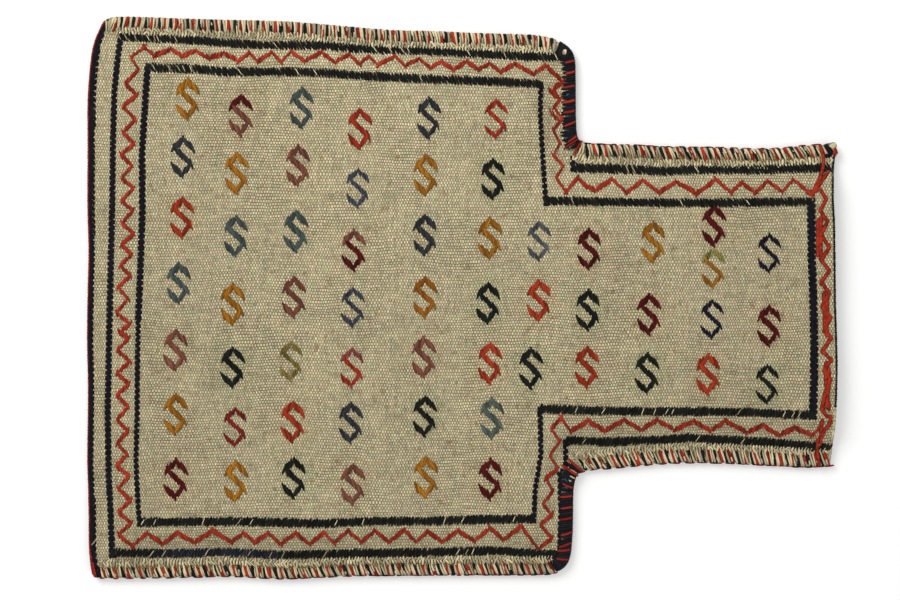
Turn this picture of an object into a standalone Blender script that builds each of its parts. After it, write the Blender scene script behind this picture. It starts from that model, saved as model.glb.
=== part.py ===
"""Kilim salt bag lying on its back.

One strip of woven wool is folded at the bottom, so the front and the back are one cloth.
Both layers are sewn together down the sides, along the shoulders and up the neck, and the
mouth stays open. +X runs from the fold to the mouth, +Y to the bag's left side, +Z out of
the front. Everything is in metres.
"""

import math

import bmesh
import bpy
from mathutils import Vector

# Outline of the finished bag, seams included
BAG_LENGTH = 0.526        # fold to mouth
BODY_LENGTH = 0.342       # fold to shoulder
FOLD_WIDTH = 0.393
SHOULDER_WIDTH = 0.377
NECK_WIDTH = 0.230        # where the neck leaves the shoulder
WAIST_WIDTH = 0.2205      # half way up the neck
MOUTH_WIDTH = 0.227
LEAN = -0.0056            # how far shoulder, neck and mouth sit off the middle of the fold
FOLD_CUT_DEPTH = 0.016    # the fold runs off square at the bag's left corner
FOLD_CUT_LENGTH = 0.060
OUTER_CORNER = 0.008      # corner radii of the outline
INNER_CORNER = 0.008
CUT_CORNER = 0.030

# Cloth
CLOTH = 0.0018            # wall
HOLLOW = 0.009            # height inside the pouch
SEAM_GAP = 0.0004         # between the two layers where the seams pinch them
SWELL_STEPS = 4           # strips from the flat margin up to the flat middle
CORNER_STEPS = 3
BEND_STEPS = 4
CORNER_MIN = 0.001
SHARP_ANGLE = math.radians(35)

# Yarn that is sewn or laid onto the cloth
CLEARANCE = 0.0003        # between pieces that touch
SEAM_YARN = 0.0012        # thickness of the overcast stitches round the edge
SEAM_LEG = 0.0085         # how far they reach onto the cloth
STITCH_PITCH = 0.0095     # one coloured pair of stitches
STITCH_VALLEY = 0.45      # share of SEAM_YARN left between two stitches
BINDING_LEG = 0.0075      # navy binding on the shoulders
BINDING_PITCH = 0.0082
FOLD_BAND = 0.0050        # navy band round the fold
BRAID_WIDTH = 0.0040      # ivory row beside the overcast stitches
LAID_YARN = 0.0008        # thickness of lines, zigzags and braids
LINE_WIDTH = 0.0040
BORDER_ROOM = 0.0020      # bare cloth beside a zigzag
ZIGZAG_HEIGHT = 0.0105    # across the border, stroke included
ZIGZAG_STROKE = 0.0031
ZIGZAG_PITCH = 0.0185
MOUTH_ZIGZAG_HEIGHT = 0.0090
MOUTH_ZIGZAG_STROKE = 0.0038
MOUTH_ZIGZAG_PITCH = 0.0175
FLOOR_CLEARANCE = 0.0001  # below the stitches on the back
MITRE_LIMIT = 0.3         # keeps the corner of a stroke from growing into a spike

# Hook motifs woven into the front
MOTIF_WIDTH = 0.0170
MOTIF_HEIGHT = 0.0305
MOTIF_STROKE = 0.0038
MOTIF_RELIEF = 0.0008
HOOK_END = 0.36           # height of the hook's free end and of its bend, as shares of half
HOOK_BEND = 0.47          # the motif's height
MOTIF_MARGIN = 0.0275     # inner line to the middle of the first and last column
BODY_ROWS = 7
NECK_ROWS = 3
CROWDED_COLUMN = 9        # this neck column holds one motif more
COLUMN_YARNS = (
    "ochre navy red teal mauve ochre maroon",
    "maroon ochre teal ochre black red ochre",
    "teal mauve teal plum olive red black",
    "red blue maroon blue red navy mauve",
    "navy ochre navy ochre mauve black ochre",
    "red black ochre black red teal maroon",
    "blue red black",
    "maroon black red",
    "ochre maroon black",
    "maroon olive navy red",
    "navy maroon navy",
)

# Wool colours: red, green, blue, roughness
YARNS = {
    "ivory": (0.51, 0.45, 0.30, 0.95),
    "ochre": (0.40, 0.20, 0.045, 0.92),
    "navy": (0.020, 0.022, 0.032, 0.90),
    "red": (0.34, 0.055, 0.030, 0.90),
    "teal": (0.095, 0.135, 0.130, 0.92),
    "mauve": (0.22, 0.105, 0.070, 0.92),
    "maroon": (0.110, 0.022, 0.022, 0.92),
    "plum": (0.18, 0.082, 0.050, 0.92),
    "olive": (0.27, 0.21, 0.080, 0.92),
    "blue": (0.13, 0.145, 0.150, 0.92),
    "black": (0.020, 0.020, 0.016, 0.92),
}

# Sizes that follow from the ones above, measured inwards from the outline
EDGE = CLEARANCE + SEAM_YARN                     # the cloth's own edge
FOLD_BEND = CLOTH + SEAM_GAP / 2                 # outer radius of the folded cloth
SEAM_LIFT = CLEARANCE + SEAM_YARN + FLOOR_CLEARANCE
MARGIN_TOP = SEAM_LIFT + 2 * CLOTH + SEAM_GAP    # top of the flat margin
SEAM_INNER = EDGE + SEAM_LEG
BINDING_INNER = EDGE + BINDING_LEG
BRAID_MIDDLE = SEAM_INNER + CLEARANCE + BRAID_WIDTH / 2
OUTER_LINE = SEAM_INNER + 2 * CLEARANCE + BRAID_WIDTH + LINE_WIDTH / 2
BORDER_ZIGZAG = OUTER_LINE + LINE_WIDTH / 2 + BORDER_ROOM + ZIGZAG_HEIGHT / 2
INNER_LINE = BORDER_ZIGZAG + ZIGZAG_HEIGHT / 2 + BORDER_ROOM + LINE_WIDTH / 2
SHOULDER_ZIGZAG = BINDING_INNER + CLEARANCE + ZIGZAG_HEIGHT / 2
SHOULDER_LINE = SHOULDER_ZIGZAG + ZIGZAG_HEIGHT / 2 + BORDER_ROOM + LINE_WIDTH / 2
MOUTH_ZIGZAG = EDGE + BORDER_ROOM + MOUTH_ZIGZAG_HEIGHT / 2
MOUTH_BAND = MOUTH_ZIGZAG + MOUTH_ZIGZAG_HEIGHT / 2 + BORDER_ROOM
MOUTH_LINE = MOUTH_BAND + LINE_WIDTH / 2
FLAT_MARGIN = SEAM_INNER + CLEARANCE
SWELL_END = INNER_LINE - LINE_WIDTH / 2

# Corners of the outline, in the order in which outline_corners() gives them
(MOUTH_RIGHT, WAIST_RIGHT, INNER_RIGHT, SHOULDER_RIGHT, FOLD_RIGHT, FOLD_CUT, FOLD_LEFT,
 SHOULDER_LEFT, INNER_LEFT, WAIST_LEFT, MOUTH_LEFT) = range(11)
EDGE_KINDS = ("side", "side", "shoulder", "side", "fold", "fold", "side", "shoulder",
              "side", "side", "mouth")
CORNER_RADII = {
    INNER_RIGHT: INNER_CORNER,
    SHOULDER_RIGHT: OUTER_CORNER,
    FOLD_RIGHT: OUTER_CORNER,
    FOLD_CUT: CUT_CORNER,
    FOLD_LEFT: OUTER_CORNER,
    SHOULDER_LEFT: OUTER_CORNER,
    INNER_LEFT: INNER_CORNER,
}
PARALLEL = 1e-6


def base_corners():
    """The outline with sharp corners; the fold's line is where its bend begins."""
    fold = -BAG_LENGTH / 2 + FOLD_BEND
    shoulder = -BAG_LENGTH / 2 + BODY_LENGTH
    mouth = BAG_LENGTH / 2
    waist = (shoulder + mouth) / 2
    right = [
        Vector((mouth, LEAN - MOUTH_WIDTH / 2)),
        Vector((waist, LEAN - WAIST_WIDTH / 2)),
        Vector((shoulder, LEAN - NECK_WIDTH / 2)),
        Vector((shoulder, LEAN - SHOULDER_WIDTH / 2)),
        Vector((fold, -FOLD_WIDTH / 2)),
    ]
    left = [
        Vector((fold, FOLD_WIDTH / 2 - FOLD_CUT_LENGTH)),
        Vector((fold + FOLD_CUT_DEPTH, FOLD_WIDTH / 2)),
        Vector((shoulder, LEAN + SHOULDER_WIDTH / 2)),
        Vector((shoulder, LEAN + NECK_WIDTH / 2)),
        Vector((waist, LEAN + WAIST_WIDTH / 2)),
        Vector((mouth, LEAN + MOUTH_WIDTH / 2)),
    ]
    return right + left


def inward(direction):
    """Left to right normal of a direction, which points into the bag on this outline."""
    return Vector((direction.y, -direction.x))


def meet(point_a, dir_a, point_b, dir_b):
    """Where two lines meet, or the second point if they run the same way."""
    cross = dir_a.x * dir_b.y - dir_a.y * dir_b.x
    if abs(cross) < PARALLEL:
        return point_b.copy()
    across = point_b - point_a
    along = (across.x * dir_b.y - across.y * dir_b.x) / cross
    return point_a + dir_a * along


def outline_corners(side, fold=None, shoulder=None, mouth=EDGE):
    """Corners of the outline moved inwards, by its own distance for each kind of edge."""
    insets = {
        "side": side,
        "fold": side if fold is None else fold,
        "shoulder": side if shoulder is None else shoulder,
        "mouth": mouth,
    }
    corners = base_corners()
    count = len(corners)
    lines = []
    for index, kind in enumerate(EDGE_KINDS):
        start = corners[index]
        direction = (corners[(index + 1) % count] - start).normalized()
        lines.append((start + inward(direction) * insets[kind], direction))
    return [meet(*lines[index - 1], *lines[index]) for index in range(count)]


def rounded_ring(inset):
    """Outline at one distance from the edge, with round corners, open at the mouth.

    Returns the points and the index range of those that lie along the fold.
    """
    corners = outline_corners(inset)
    points = [corners[MOUTH_RIGHT]]
    fold_start = fold_end = 0
    for index in range(WAIST_RIGHT, MOUTH_LEFT):
        corner = corners[index]
        before = (corner - corners[index - 1]).normalized()
        after = (corners[index + 1] - corner).normalized()
        radius = CORNER_RADII.get(index)
        if index == FOLD_LEFT:
            fold_end = len(points)
        if radius is None:
            points.append(corner)
            continue
        turn = before.x * after.y - before.y * after.x
        concave = turn > 0
        radius = radius + inset if concave else max(radius - inset, CORNER_MIN)
        points.extend(corner_arc(corner, before, after, radius))
        if index == FOLD_RIGHT:
            fold_start = len(points) - 1
    points.append(corners[MOUTH_LEFT])
    return points, range(fold_start, fold_end + 1)


def corner_arc(corner, before, after, radius):
    """Points of the arc that rounds a corner between two directions."""
    angle = before.angle(after)
    reach = radius * math.tan(angle / 2)
    start = corner - before * reach
    side = 1 if before.x * after.y - before.y * after.x > 0 else -1
    centre = start + Vector((-before.y, before.x)) * radius * side
    spoke = start - centre
    points = []
    for step in range(CORNER_STEPS + 1):
        turned = side * angle * step / CORNER_STEPS
        cos, sin = math.cos(turned), math.sin(turned)
        points.append(centre + Vector((spoke.x * cos - spoke.y * sin, spoke.x * sin + spoke.y * cos)))
    return points


def ring_insets():
    """Distances from the edge at which the cloth's height is set."""
    step = (SWELL_END - FLAT_MARGIN) / SWELL_STEPS
    return [EDGE] + [FLAT_MARGIN + step * index for index in range(SWELL_STEPS + 1)]


def swell(inset):
    """0 on the flat margin that the seams hold, 1 on the flat middle."""
    share = min(max((inset - FLAT_MARGIN) / (SWELL_END - FLAT_MARGIN), 0), 1)
    return share * share * (3 - 2 * share)


def back_height(inset):
    """Middle of the back layer's wall."""
    return CLOTH / 2 + SEAM_LIFT * (1 - swell(inset))


def front_height(inset):
    """Middle of the front layer's wall."""
    low = MARGIN_TOP - CLOTH / 2
    high = CLOTH * 3 / 2 + HOLLOW
    return low + (high - low) * swell(inset)


def new_object(name, bm, material, collection, smooth=True):
    """Turn a bmesh into a linked object with one material."""
    mesh = bpy.data.meshes.new(name)
    bm.to_mesh(mesh)
    bm.free()
    obj = bpy.data.objects.new(name, mesh)
    collection.objects.link(obj)
    mesh.materials.append(material)
    if smooth:
        mesh.shade_smooth()
        mesh.set_sharp_from_angle(angle=SHARP_ANGLE)
    return obj


def add_layer(bm, height, upward):
    """One layer of cloth as rings from the edge inwards and a flat middle."""
    rings = []
    for inset in ring_insets():
        points, _ = rounded_ring(inset)
        rings.append([bm.verts.new((p.x, p.y, height(inset))) for p in points])
    for outer, inner in zip(rings, rings[1:]):
        for index in range(len(outer) - 1):
            face = (outer[index], outer[index + 1], inner[index + 1], inner[index])
            bm.faces.new(face[::-1] if upward else face)
    bm.faces.new(rings[-1][::-1] if upward else rings[-1])
    return rings[0]


def cloth_surface():
    """Middle surface of the folded cloth: back, bend at the fold, front."""
    bm = bmesh.new()
    back = add_layer(bm, back_height, upward=False)
    front = add_layer(bm, front_height, upward=True)
    edge, fold = rounded_ring(EDGE)
    deeper, _ = rounded_ring(EDGE + CORNER_MIN)
    columns = []
    for index in fold:
        outward = (edge[index] - deeper[index]).normalized()
        radius = (front[index].co.z - back[index].co.z) / 2
        centre = (front[index].co.z + back[index].co.z) / 2
        column = [back[index]]
        for step in range(1, BEND_STEPS):
            angle = math.pi * step / BEND_STEPS
            place = edge[index] + outward * radius * math.sin(angle)
            column.append(bm.verts.new((place.x, place.y, centre - radius * math.cos(angle))))
        column.append(front[index])
        columns.append(column)
    for column, following in zip(columns, columns[1:]):
        for step in range(BEND_STEPS):
            bm.faces.new((column[step], column[step + 1], following[step + 1], following[step]))
    return bm


def solidify(obj, thickness, offset):
    """Give an open surface its thickness."""
    modifier = obj.modifiers.new("thickness", "SOLIDIFY")
    modifier.thickness = thickness
    modifier.offset = offset
    modifier.use_even_offset = True


def stroke_sides(path, width, closed):
    """Left and right edge of a flat stroke that follows a path, mitred at its corners."""
    count = len(path)
    sides = []
    for index, point in enumerate(path):
        last = path[index - 1] if index or closed else None
        following = path[(index + 1) % count] if index < count - 1 or closed else None
        into = (point - last).normalized() if last else (following - point).normalized()
        out = (following - point).normalized() if following else into
        middle = (inward(into) + inward(out)).normalized()
        reach = width / 2 / max(middle.dot(inward(into)), MITRE_LIMIT)
        sides.append((point - middle * reach, point + middle * reach))
    return sides


def add_stroke(bm, path, width, bottom, top, closed=False):
    """A flat stroke with upright sides, as one closed body."""
    rows = []
    for left, right in stroke_sides(path, width, closed):
        corners = ((left, bottom), (right, bottom), (right, top), (left, top))
        rows.append([bm.verts.new((p.x, p.y, z)) for p, z in corners])
    pairs = list(zip(rows, rows[1:]))
    if closed:
        pairs.append((rows[-1], rows[0]))
    for row, following in pairs:
        for index in range(4):
            turn = (index + 1) % 4
            bm.faces.new((row[index], row[turn], following[turn], following[index]))
    if not closed:
        bm.faces.new(rows[0][::-1])
        bm.faces.new(rows[-1])


def laid_yarn(name, path, width, yarn, scene_parts, closed=False):
    """Yarn laid on the front: a stroke cut to the thin layer that lies on the cloth."""
    bm = bmesh.new()
    top = front_height(SWELL_END) + CLOTH + LAID_YARN + CLEARANCE
    add_stroke(bm, path, width, MARGIN_TOP - CLOTH, top, closed)
    bmesh.ops.recalc_face_normals(bm, faces=bm.faces)
    obj = new_object(name, bm, scene_parts["materials"][yarn], scene_parts["bag"], smooth=False)
    modifier = obj.modifiers.new("follow the cloth", "BOOLEAN")
    modifier.operation = "INTERSECT"
    modifier.solver = "EXACT"
    modifier.object = scene_parts["skin"]
    return obj


def zigzag_path(corners, height, stroke, pitch):
    """Zigzag along a run of straight edges, turning once in each half pitch."""
    reach = (height - stroke * math.sqrt(2)) / 2
    points = []
    side = 1
    for start, end in zip(corners, corners[1:]):
        run = end - start
        turns = max(round(run.length / (pitch / 2)), 1)
        normal = inward(run.normalized())
        for index in range(turns):
            middle = start + run * ((index + 0.5) / turns)
            points.append(middle + normal * reach * side)
            side = -side
    return points


def edge_profile(leg, thickness, bend=0.0):
    """Section of yarn that wraps the cloth's edge, as inward distance and height."""
    inner_top = MARGIN_TOP + CLEARANCE
    inner_bottom = SEAM_LIFT - CLEARANCE
    top, bottom = inner_top + thickness, inner_bottom - thickness
    inner = -bend - CLEARANCE
    outer = inner - thickness
    soft = (top - bottom) / 4
    return [
        (leg, inner_bottom), (inner, inner_bottom), (inner, inner_top), (leg, inner_top),
        (leg, top), (outer + soft, top), (outer, top - soft),
        (outer, bottom + soft), (outer + soft, bottom), (leg, bottom),
    ]


def add_edge_strip(bm, stations, profiles, colour_of):
    """Loft edge profiles along stations, each a point and its inward direction."""
    rows = []
    for (point, normal), profile in zip(stations, profiles):
        rows.append([bm.verts.new((*(point + normal * u), z)) for u, z in profile])
    for number, (row, following) in enumerate(zip(rows, rows[1:])):
        for index in range(len(row)):
            turn = (index + 1) % len(row)
            face = bm.faces.new((row[index], row[turn], following[turn], following[index]))
            face.material_index = colour_of(number)
    bm.faces.new(rows[0][::-1])
    bm.faces.new(rows[-1])
    bmesh.ops.recalc_face_normals(bm, faces=bm.faces)


def stations_along(path, count):
    """Evenly spaced points on a path with the inward direction at each."""
    lengths = [(b - a).length for a, b in zip(path, path[1:])]
    total = sum(lengths)
    stations = []
    for number in range(count + 1):
        left = total * number / count
        index = 0
        while index < len(lengths) - 1 and left > lengths[index]:
            left -= lengths[index]
            index += 1
        direction = (path[index + 1] - path[index]).normalized()
        stations.append((path[index] + direction * left, inward(direction)))
    return stations


def overcast_edge(name, path, leg, pitch, yarns, scene_parts):
    """Stitches sewn over the edge: crests and valleys along a wrapped strip."""
    length = sum((b - a).length for a, b in zip(path, path[1:]))
    count = 2 * max(round(length / pitch), 1)
    valley = edge_profile(leg, SEAM_YARN * STITCH_VALLEY)
    crest = edge_profile(leg, SEAM_YARN)
    profiles = [crest if number % 2 else valley for number in range(count + 1)]
    bm = bmesh.new()
    add_edge_strip(bm, stations_along(path, count), profiles, lambda number: number % len(yarns))
    obj = new_object(name, bm, scene_parts["materials"][yarns[0]], scene_parts["bag"], smooth=False)
    for yarn in yarns[1:]:
        obj.data.materials.append(scene_parts["materials"][yarn])
    return obj


def trimmed(path, start, end):
    """A path with its first and last stretch shortened."""
    first = (path[1] - path[0]).normalized()
    last = (path[-1] - path[-2]).normalized()
    return [path[0] + first * start] + path[1:-1] + [path[-1] - last * end]


def build_cloth(scene_parts):
    """The folded cloth with its woven hook motifs."""
    materials = scene_parts["materials"]
    cloth = new_object("cloth", cloth_surface(), materials["ivory"], scene_parts["bag"])
    solidify(cloth, CLOTH, offset=0)
    bm = bmesh.new()
    bottom = front_height(SWELL_END)
    top = bottom + CLOTH / 2 + MOTIF_RELIEF
    names = list(YARNS)
    for centre, yarn in motif_places():
        first_face = len(bm.faces)
        add_stroke(bm, hook_path(centre), MOTIF_STROKE, bottom, top)
        bm.faces.ensure_lookup_table()
        for face in bm.faces[first_face:]:
            face.material_index = names.index(yarn)
    bmesh.ops.recalc_face_normals(bm, faces=bm.faces)
    motifs = new_object("woven_motifs", bm, materials[names[0]], scene_parts["guides"], smooth=False)
    for yarn in names[1:]:
        motifs.data.materials.append(materials[yarn])
    make_guide(motifs)
    union = cloth.modifiers.new("woven motifs", "BOOLEAN")
    union.operation = "UNION"
    union.solver = "EXACT"
    union.material_mode = "TRANSFER"
    union.object = motifs


def hook_path(centre):
    """Middle line of one S-shaped hook."""
    wide = (MOTIF_WIDTH - MOTIF_STROKE) / 2
    high = (MOTIF_HEIGHT - MOTIF_STROKE) / 2
    half = [Vector((wide, HOOK_END * high)), Vector((0, high)), Vector((-wide, HOOK_BEND * high))]
    return [centre + p for p in half] + [centre - p for p in reversed(half)]


def share_between(low, high, count):
    """Middles of equal parts of a stretch, from high to low."""
    return [high + (low - high) * (index + 0.5) / count for index in range(count)]


def motif_places():
    """Middle and yarn of every hook, column by column from the fold."""
    inner = outline_corners(INNER_LINE, shoulder=SHOULDER_LINE, mouth=MOUTH_LINE)
    start = inner[FOLD_RIGHT].x + MOTIF_MARGIN
    end = inner[MOUTH_RIGHT].x - MOTIF_MARGIN
    shoulder = inner[SHOULDER_RIGHT].x - LINE_WIDTH / 2 - MOTIF_WIDTH / 2
    places = []
    for column, yarns in enumerate(COLUMN_YARNS):
        x = start + (end - start) * column / (len(COLUMN_YARNS) - 1)
        in_body = x < shoulder
        rows = BODY_ROWS if in_body else NECK_ROWS + (column == CROWDED_COLUMN)
        right = (FOLD_RIGHT, SHOULDER_RIGHT) if in_body else (WAIST_RIGHT, INNER_RIGHT)
        left = (FOLD_LEFT, SHOULDER_LEFT) if in_body else (WAIST_LEFT, INNER_LEFT)
        low = max(inner[index].y for index in right)
        high = min(inner[index].y for index in left)
        names = yarns.split()
        for row, y in enumerate(share_between(low, high, rows)):
            places.append((Vector((x, y)), names[row % len(names)]))
    return places


def build_fold_band(scene_parts):
    """Navy wefts that turn round the fold from the front to the back."""
    points, fold = rounded_ring(EDGE)
    deeper, _ = rounded_ring(EDGE + CORNER_MIN)
    stations = [(points[i], (deeper[i] - points[i]).normalized()) for i in fold]
    profile = edge_profile(FOLD_BAND - FOLD_BEND, SEAM_YARN, bend=FOLD_BEND)
    bm = bmesh.new()
    add_edge_strip(bm, stations, [profile] * len(stations), lambda number: 0)
    new_object("fold_band", bm, scene_parts["materials"]["navy"], scene_parts["bag"], smooth=False)


def build_seams(scene_parts):
    """Overcast stitches down the sides and up the neck, and the shoulder bindings."""
    edge = outline_corners(EDGE)
    shoulder_end = max(OUTER_CORNER, BINDING_LEG + CLEARANCE)
    fold_end = max(OUTER_CORNER, FOLD_BAND + CLEARANCE)
    stitches = ("ivory", "red", "ivory", "navy")
    binding = ("navy", "navy", "red")
    runs = {
        "side_seam_right": [edge[SHOULDER_RIGHT], edge[FOLD_RIGHT]],
        "side_seam_left": [edge[SHOULDER_LEFT], edge[FOLD_LEFT]][::-1],
    }
    for name, path in runs.items():
        ends = (shoulder_end, fold_end) if name.endswith("right") else (fold_end, shoulder_end)
        overcast_edge(name, trimmed(path, *ends), SEAM_LEG, STITCH_PITCH, stitches, scene_parts)
    neck_right = [edge[MOUTH_RIGHT], edge[WAIST_RIGHT], edge[INNER_RIGHT]]
    neck_left = [edge[INNER_LEFT], edge[WAIST_LEFT], edge[MOUTH_LEFT]]
    overcast_edge("neck_seam_right", trimmed(neck_right, 0, INNER_CORNER), SEAM_LEG, STITCH_PITCH,
                  stitches, scene_parts)
    overcast_edge("neck_seam_left", trimmed(neck_left, INNER_CORNER, 0), SEAM_LEG, STITCH_PITCH,
                  stitches, scene_parts)
    shoulder_right = [edge[INNER_RIGHT], edge[SHOULDER_RIGHT]]
    shoulder_left = [edge[SHOULDER_LEFT], edge[INNER_LEFT]]
    overcast_edge("shoulder_binding_right", trimmed(shoulder_right, INNER_CORNER, OUTER_CORNER),
                  BINDING_LEG, BINDING_PITCH, binding, scene_parts)
    overcast_edge("shoulder_binding_left", trimmed(shoulder_left, OUTER_CORNER, INNER_CORNER),
                  BINDING_LEG, BINDING_PITCH, binding, scene_parts)


def build_braids(scene_parts):
    """Ivory row between the overcast stitches and the outer line."""
    body = outline_corners(BRAID_MIDDLE, fold=FOLD_BAND + CLEARANCE,
                           shoulder=BINDING_INNER + CLEARANCE)
    neck = outline_corners(BRAID_MIDDLE, shoulder=EDGE, mouth=MOUTH_BAND)
    runs = {
        "side_braid_right": [body[SHOULDER_RIGHT], body[FOLD_RIGHT]],
        "side_braid_left": [body[FOLD_LEFT], body[SHOULDER_LEFT]],
        "neck_braid_right": [neck[MOUTH_RIGHT], neck[WAIST_RIGHT], neck[INNER_RIGHT]],
        "neck_braid_left": [neck[INNER_LEFT], neck[WAIST_LEFT], neck[MOUTH_LEFT]],
    }
    for name, path in runs.items():
        laid_yarn(name, path, BRAID_WIDTH, "ivory", scene_parts)


def build_lines(scene_parts):
    """Dark lines that frame the border: round the body, along the neck, and inside."""
    body = outline_corners(OUTER_LINE, shoulder=BINDING_INNER + CLEARANCE)
    neck = outline_corners(OUTER_LINE, shoulder=EDGE, mouth=MOUTH_BAND)
    inner = outline_corners(INNER_LINE, shoulder=SHOULDER_LINE, mouth=MOUTH_LINE)
    laid_yarn("outer_line", body[SHOULDER_RIGHT:SHOULDER_LEFT + 1], LINE_WIDTH, "black", scene_parts)
    laid_yarn("neck_line_right", neck[MOUTH_RIGHT:INNER_RIGHT + 1], LINE_WIDTH, "black", scene_parts)
    laid_yarn("neck_line_left", neck[INNER_LEFT:MOUTH_LEFT + 1], LINE_WIDTH, "black", scene_parts)
    laid_yarn("inner_line", inner, LINE_WIDTH, "black", scene_parts, closed=True)


def build_zigzags(scene_parts):
    """Red zigzags: one round the border, a thicker one across the mouth."""
    border = outline_corners(BORDER_ZIGZAG, shoulder=SHOULDER_ZIGZAG, mouth=MOUTH_BAND)
    path = zigzag_path(border, ZIGZAG_HEIGHT, ZIGZAG_STROKE, ZIGZAG_PITCH)
    laid_yarn("border_zigzag", path, ZIGZAG_STROKE, "red", scene_parts)
    mouth = outline_corners(OUTER_LINE, mouth=MOUTH_ZIGZAG)
    path = zigzag_path([mouth[MOUTH_LEFT], mouth[MOUTH_RIGHT]], MOUTH_ZIGZAG_HEIGHT,
                       MOUTH_ZIGZAG_STROKE, MOUTH_ZIGZAG_PITCH)
    laid_yarn("mouth_zigzag", path, MOUTH_ZIGZAG_STROKE, "red", scene_parts)


def build_mouth_edging(scene_parts):
    """Navy yarn along the rim of the mouth, front and back in one ring."""
    near = BAG_LENGTH / 2 - EDGE + CLEARANCE
    far = BAG_LENGTH / 2
    rights = []
    lefts = []
    for number, inset in enumerate(ring_insets()):
        corners = outline_corners(inset)
        wall = CLOTH if number == 0 else 0.0
        for side, outwards, index in ((rights, 1, MOUTH_RIGHT), (lefts, -1, MOUTH_LEFT)):
            y = corners[index].y
            side.append((y, y + outwards * wall, inset))
    outer = []
    inner = []
    for across, height, sign in ((rights + lefts[::-1], front_height, 1),
                                 (lefts + rights[::-1], back_height, -1)):
        outer += [(y, height(inset) + sign * CLOTH / 2) for y, _, inset in across]
        inner += [(y, height(inset) - sign * CLOTH / 2) for _, y, inset in across]
    bm = bmesh.new()
    rows = []
    for (outer_y, outer_z), (inner_y, inner_z) in zip(outer, inner):
        corners = ((near, outer_y, outer_z), (far, outer_y, outer_z),
                   (far, inner_y, inner_z), (near, inner_y, inner_z))
        rows.append([bm.verts.new(corner) for corner in corners])
    for row, following in zip(rows, rows[1:] + rows[:1]):
        for index in range(4):
            turn = (index + 1) % 4
            bm.faces.new((row[index], row[turn], following[turn], following[index]))
    bmesh.ops.recalc_face_normals(bm, faces=bm.faces)
    new_object("mouth_edging", bm, scene_parts["materials"]["navy"], scene_parts["bag"],
               smooth=False)


def make_guide(obj):
    """Keep a helper shape out of the model."""
    obj.hide_render = True
    obj.display_type = "WIRE"


def build_skin(scene_parts):
    """Guide: the thin layer on the front in which laid yarn lies."""
    bm = bmesh.new()
    add_layer(bm, lambda inset: front_height(inset) + CLOTH / 2 + CLEARANCE, upward=True)
    skin = new_object("yarn_layer", bm, scene_parts["materials"]["ivory"], scene_parts["guides"])
    solidify(skin, LAID_YARN, offset=1)
    make_guide(skin)
    return skin


def make_materials():
    """One wool material for each colour."""
    materials = {}
    for name, (red, green, blue, roughness) in YARNS.items():
        material = bpy.data.materials.new(f"{name}_wool")
        material.use_nodes = True
        shader = material.node_tree.nodes["Principled BSDF"]
        shader.inputs["Base Color"].default_value = (red, green, blue, 1)
        shader.inputs["Roughness"].default_value = roughness
        shader.inputs["Metallic"].default_value = 0
        materials[name] = material
    return materials


def new_collection(name):
    """An empty collection in the scene."""
    collection = bpy.data.collections.new(name)
    bpy.context.scene.collection.children.link(collection)
    return collection


def main():
    for obj in list(bpy.data.objects):
        bpy.data.objects.remove(obj, do_unlink=True)
    scene_parts = {
        "materials": make_materials(),
        "bag": new_collection("kilim_salt_bag"),
        "guides": new_collection("guides"),
    }
    scene_parts["skin"] = build_skin(scene_parts)
    build_cloth(scene_parts)
    build_fold_band(scene_parts)
    build_seams(scene_parts)
    build_braids(scene_parts)
    build_lines(scene_parts)
    build_zigzags(scene_parts)
    build_mouth_edging(scene_parts)


main()
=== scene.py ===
import math

import bmesh
import bpy
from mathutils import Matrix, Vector, kdtree, noise
from mathutils.bvhtree import BVHTree
from mathutils.geometry import delaunay_2d_cdt


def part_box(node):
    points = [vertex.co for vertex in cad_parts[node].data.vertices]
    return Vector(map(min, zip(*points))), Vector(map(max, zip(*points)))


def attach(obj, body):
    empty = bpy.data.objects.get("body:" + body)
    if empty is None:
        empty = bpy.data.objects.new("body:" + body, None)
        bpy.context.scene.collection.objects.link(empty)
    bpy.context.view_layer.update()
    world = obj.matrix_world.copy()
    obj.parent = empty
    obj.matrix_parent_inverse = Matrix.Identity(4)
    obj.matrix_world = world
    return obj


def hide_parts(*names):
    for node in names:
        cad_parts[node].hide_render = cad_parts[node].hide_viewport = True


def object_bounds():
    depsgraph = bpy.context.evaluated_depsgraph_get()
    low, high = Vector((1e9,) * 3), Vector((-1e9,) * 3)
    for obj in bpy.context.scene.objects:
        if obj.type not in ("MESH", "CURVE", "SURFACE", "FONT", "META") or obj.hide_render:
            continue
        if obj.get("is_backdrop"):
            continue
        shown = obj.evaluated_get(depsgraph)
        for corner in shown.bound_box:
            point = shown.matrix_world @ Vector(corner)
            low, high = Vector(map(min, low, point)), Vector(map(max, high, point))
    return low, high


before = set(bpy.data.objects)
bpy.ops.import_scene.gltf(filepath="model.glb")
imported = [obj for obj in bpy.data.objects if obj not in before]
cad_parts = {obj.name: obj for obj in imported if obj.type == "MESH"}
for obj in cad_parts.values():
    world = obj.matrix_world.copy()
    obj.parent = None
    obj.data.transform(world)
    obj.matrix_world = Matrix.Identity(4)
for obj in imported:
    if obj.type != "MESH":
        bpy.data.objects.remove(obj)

# Camera. The bag is seen square on from above, as it lies in the photograph, so a pixel of the
# photograph is a place on the bag: photo_place() turns one into metres, seen from above.
cad_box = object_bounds()
PIXEL = 0.0007
MIDDLE_PIXEL = (461.5, 297.0)
PHOTO_SIZE = (900, 600)
LENS_MM = 85
SENSOR_MM = 36
EDGE_HEIGHT = 0.006


def photo_place(across, down):
    """A pixel of the photograph as a place in metres, at the height of the bag's edge."""
    return Vector(((across - MIDDLE_PIXEL[0]) * PIXEL, (MIDDLE_PIXEL[1] - down) * PIXEL))


def photo_path(pixels):
    """A list of pixels as a path in metres."""
    return [photo_place(*pixel) for pixel in pixels]


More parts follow.
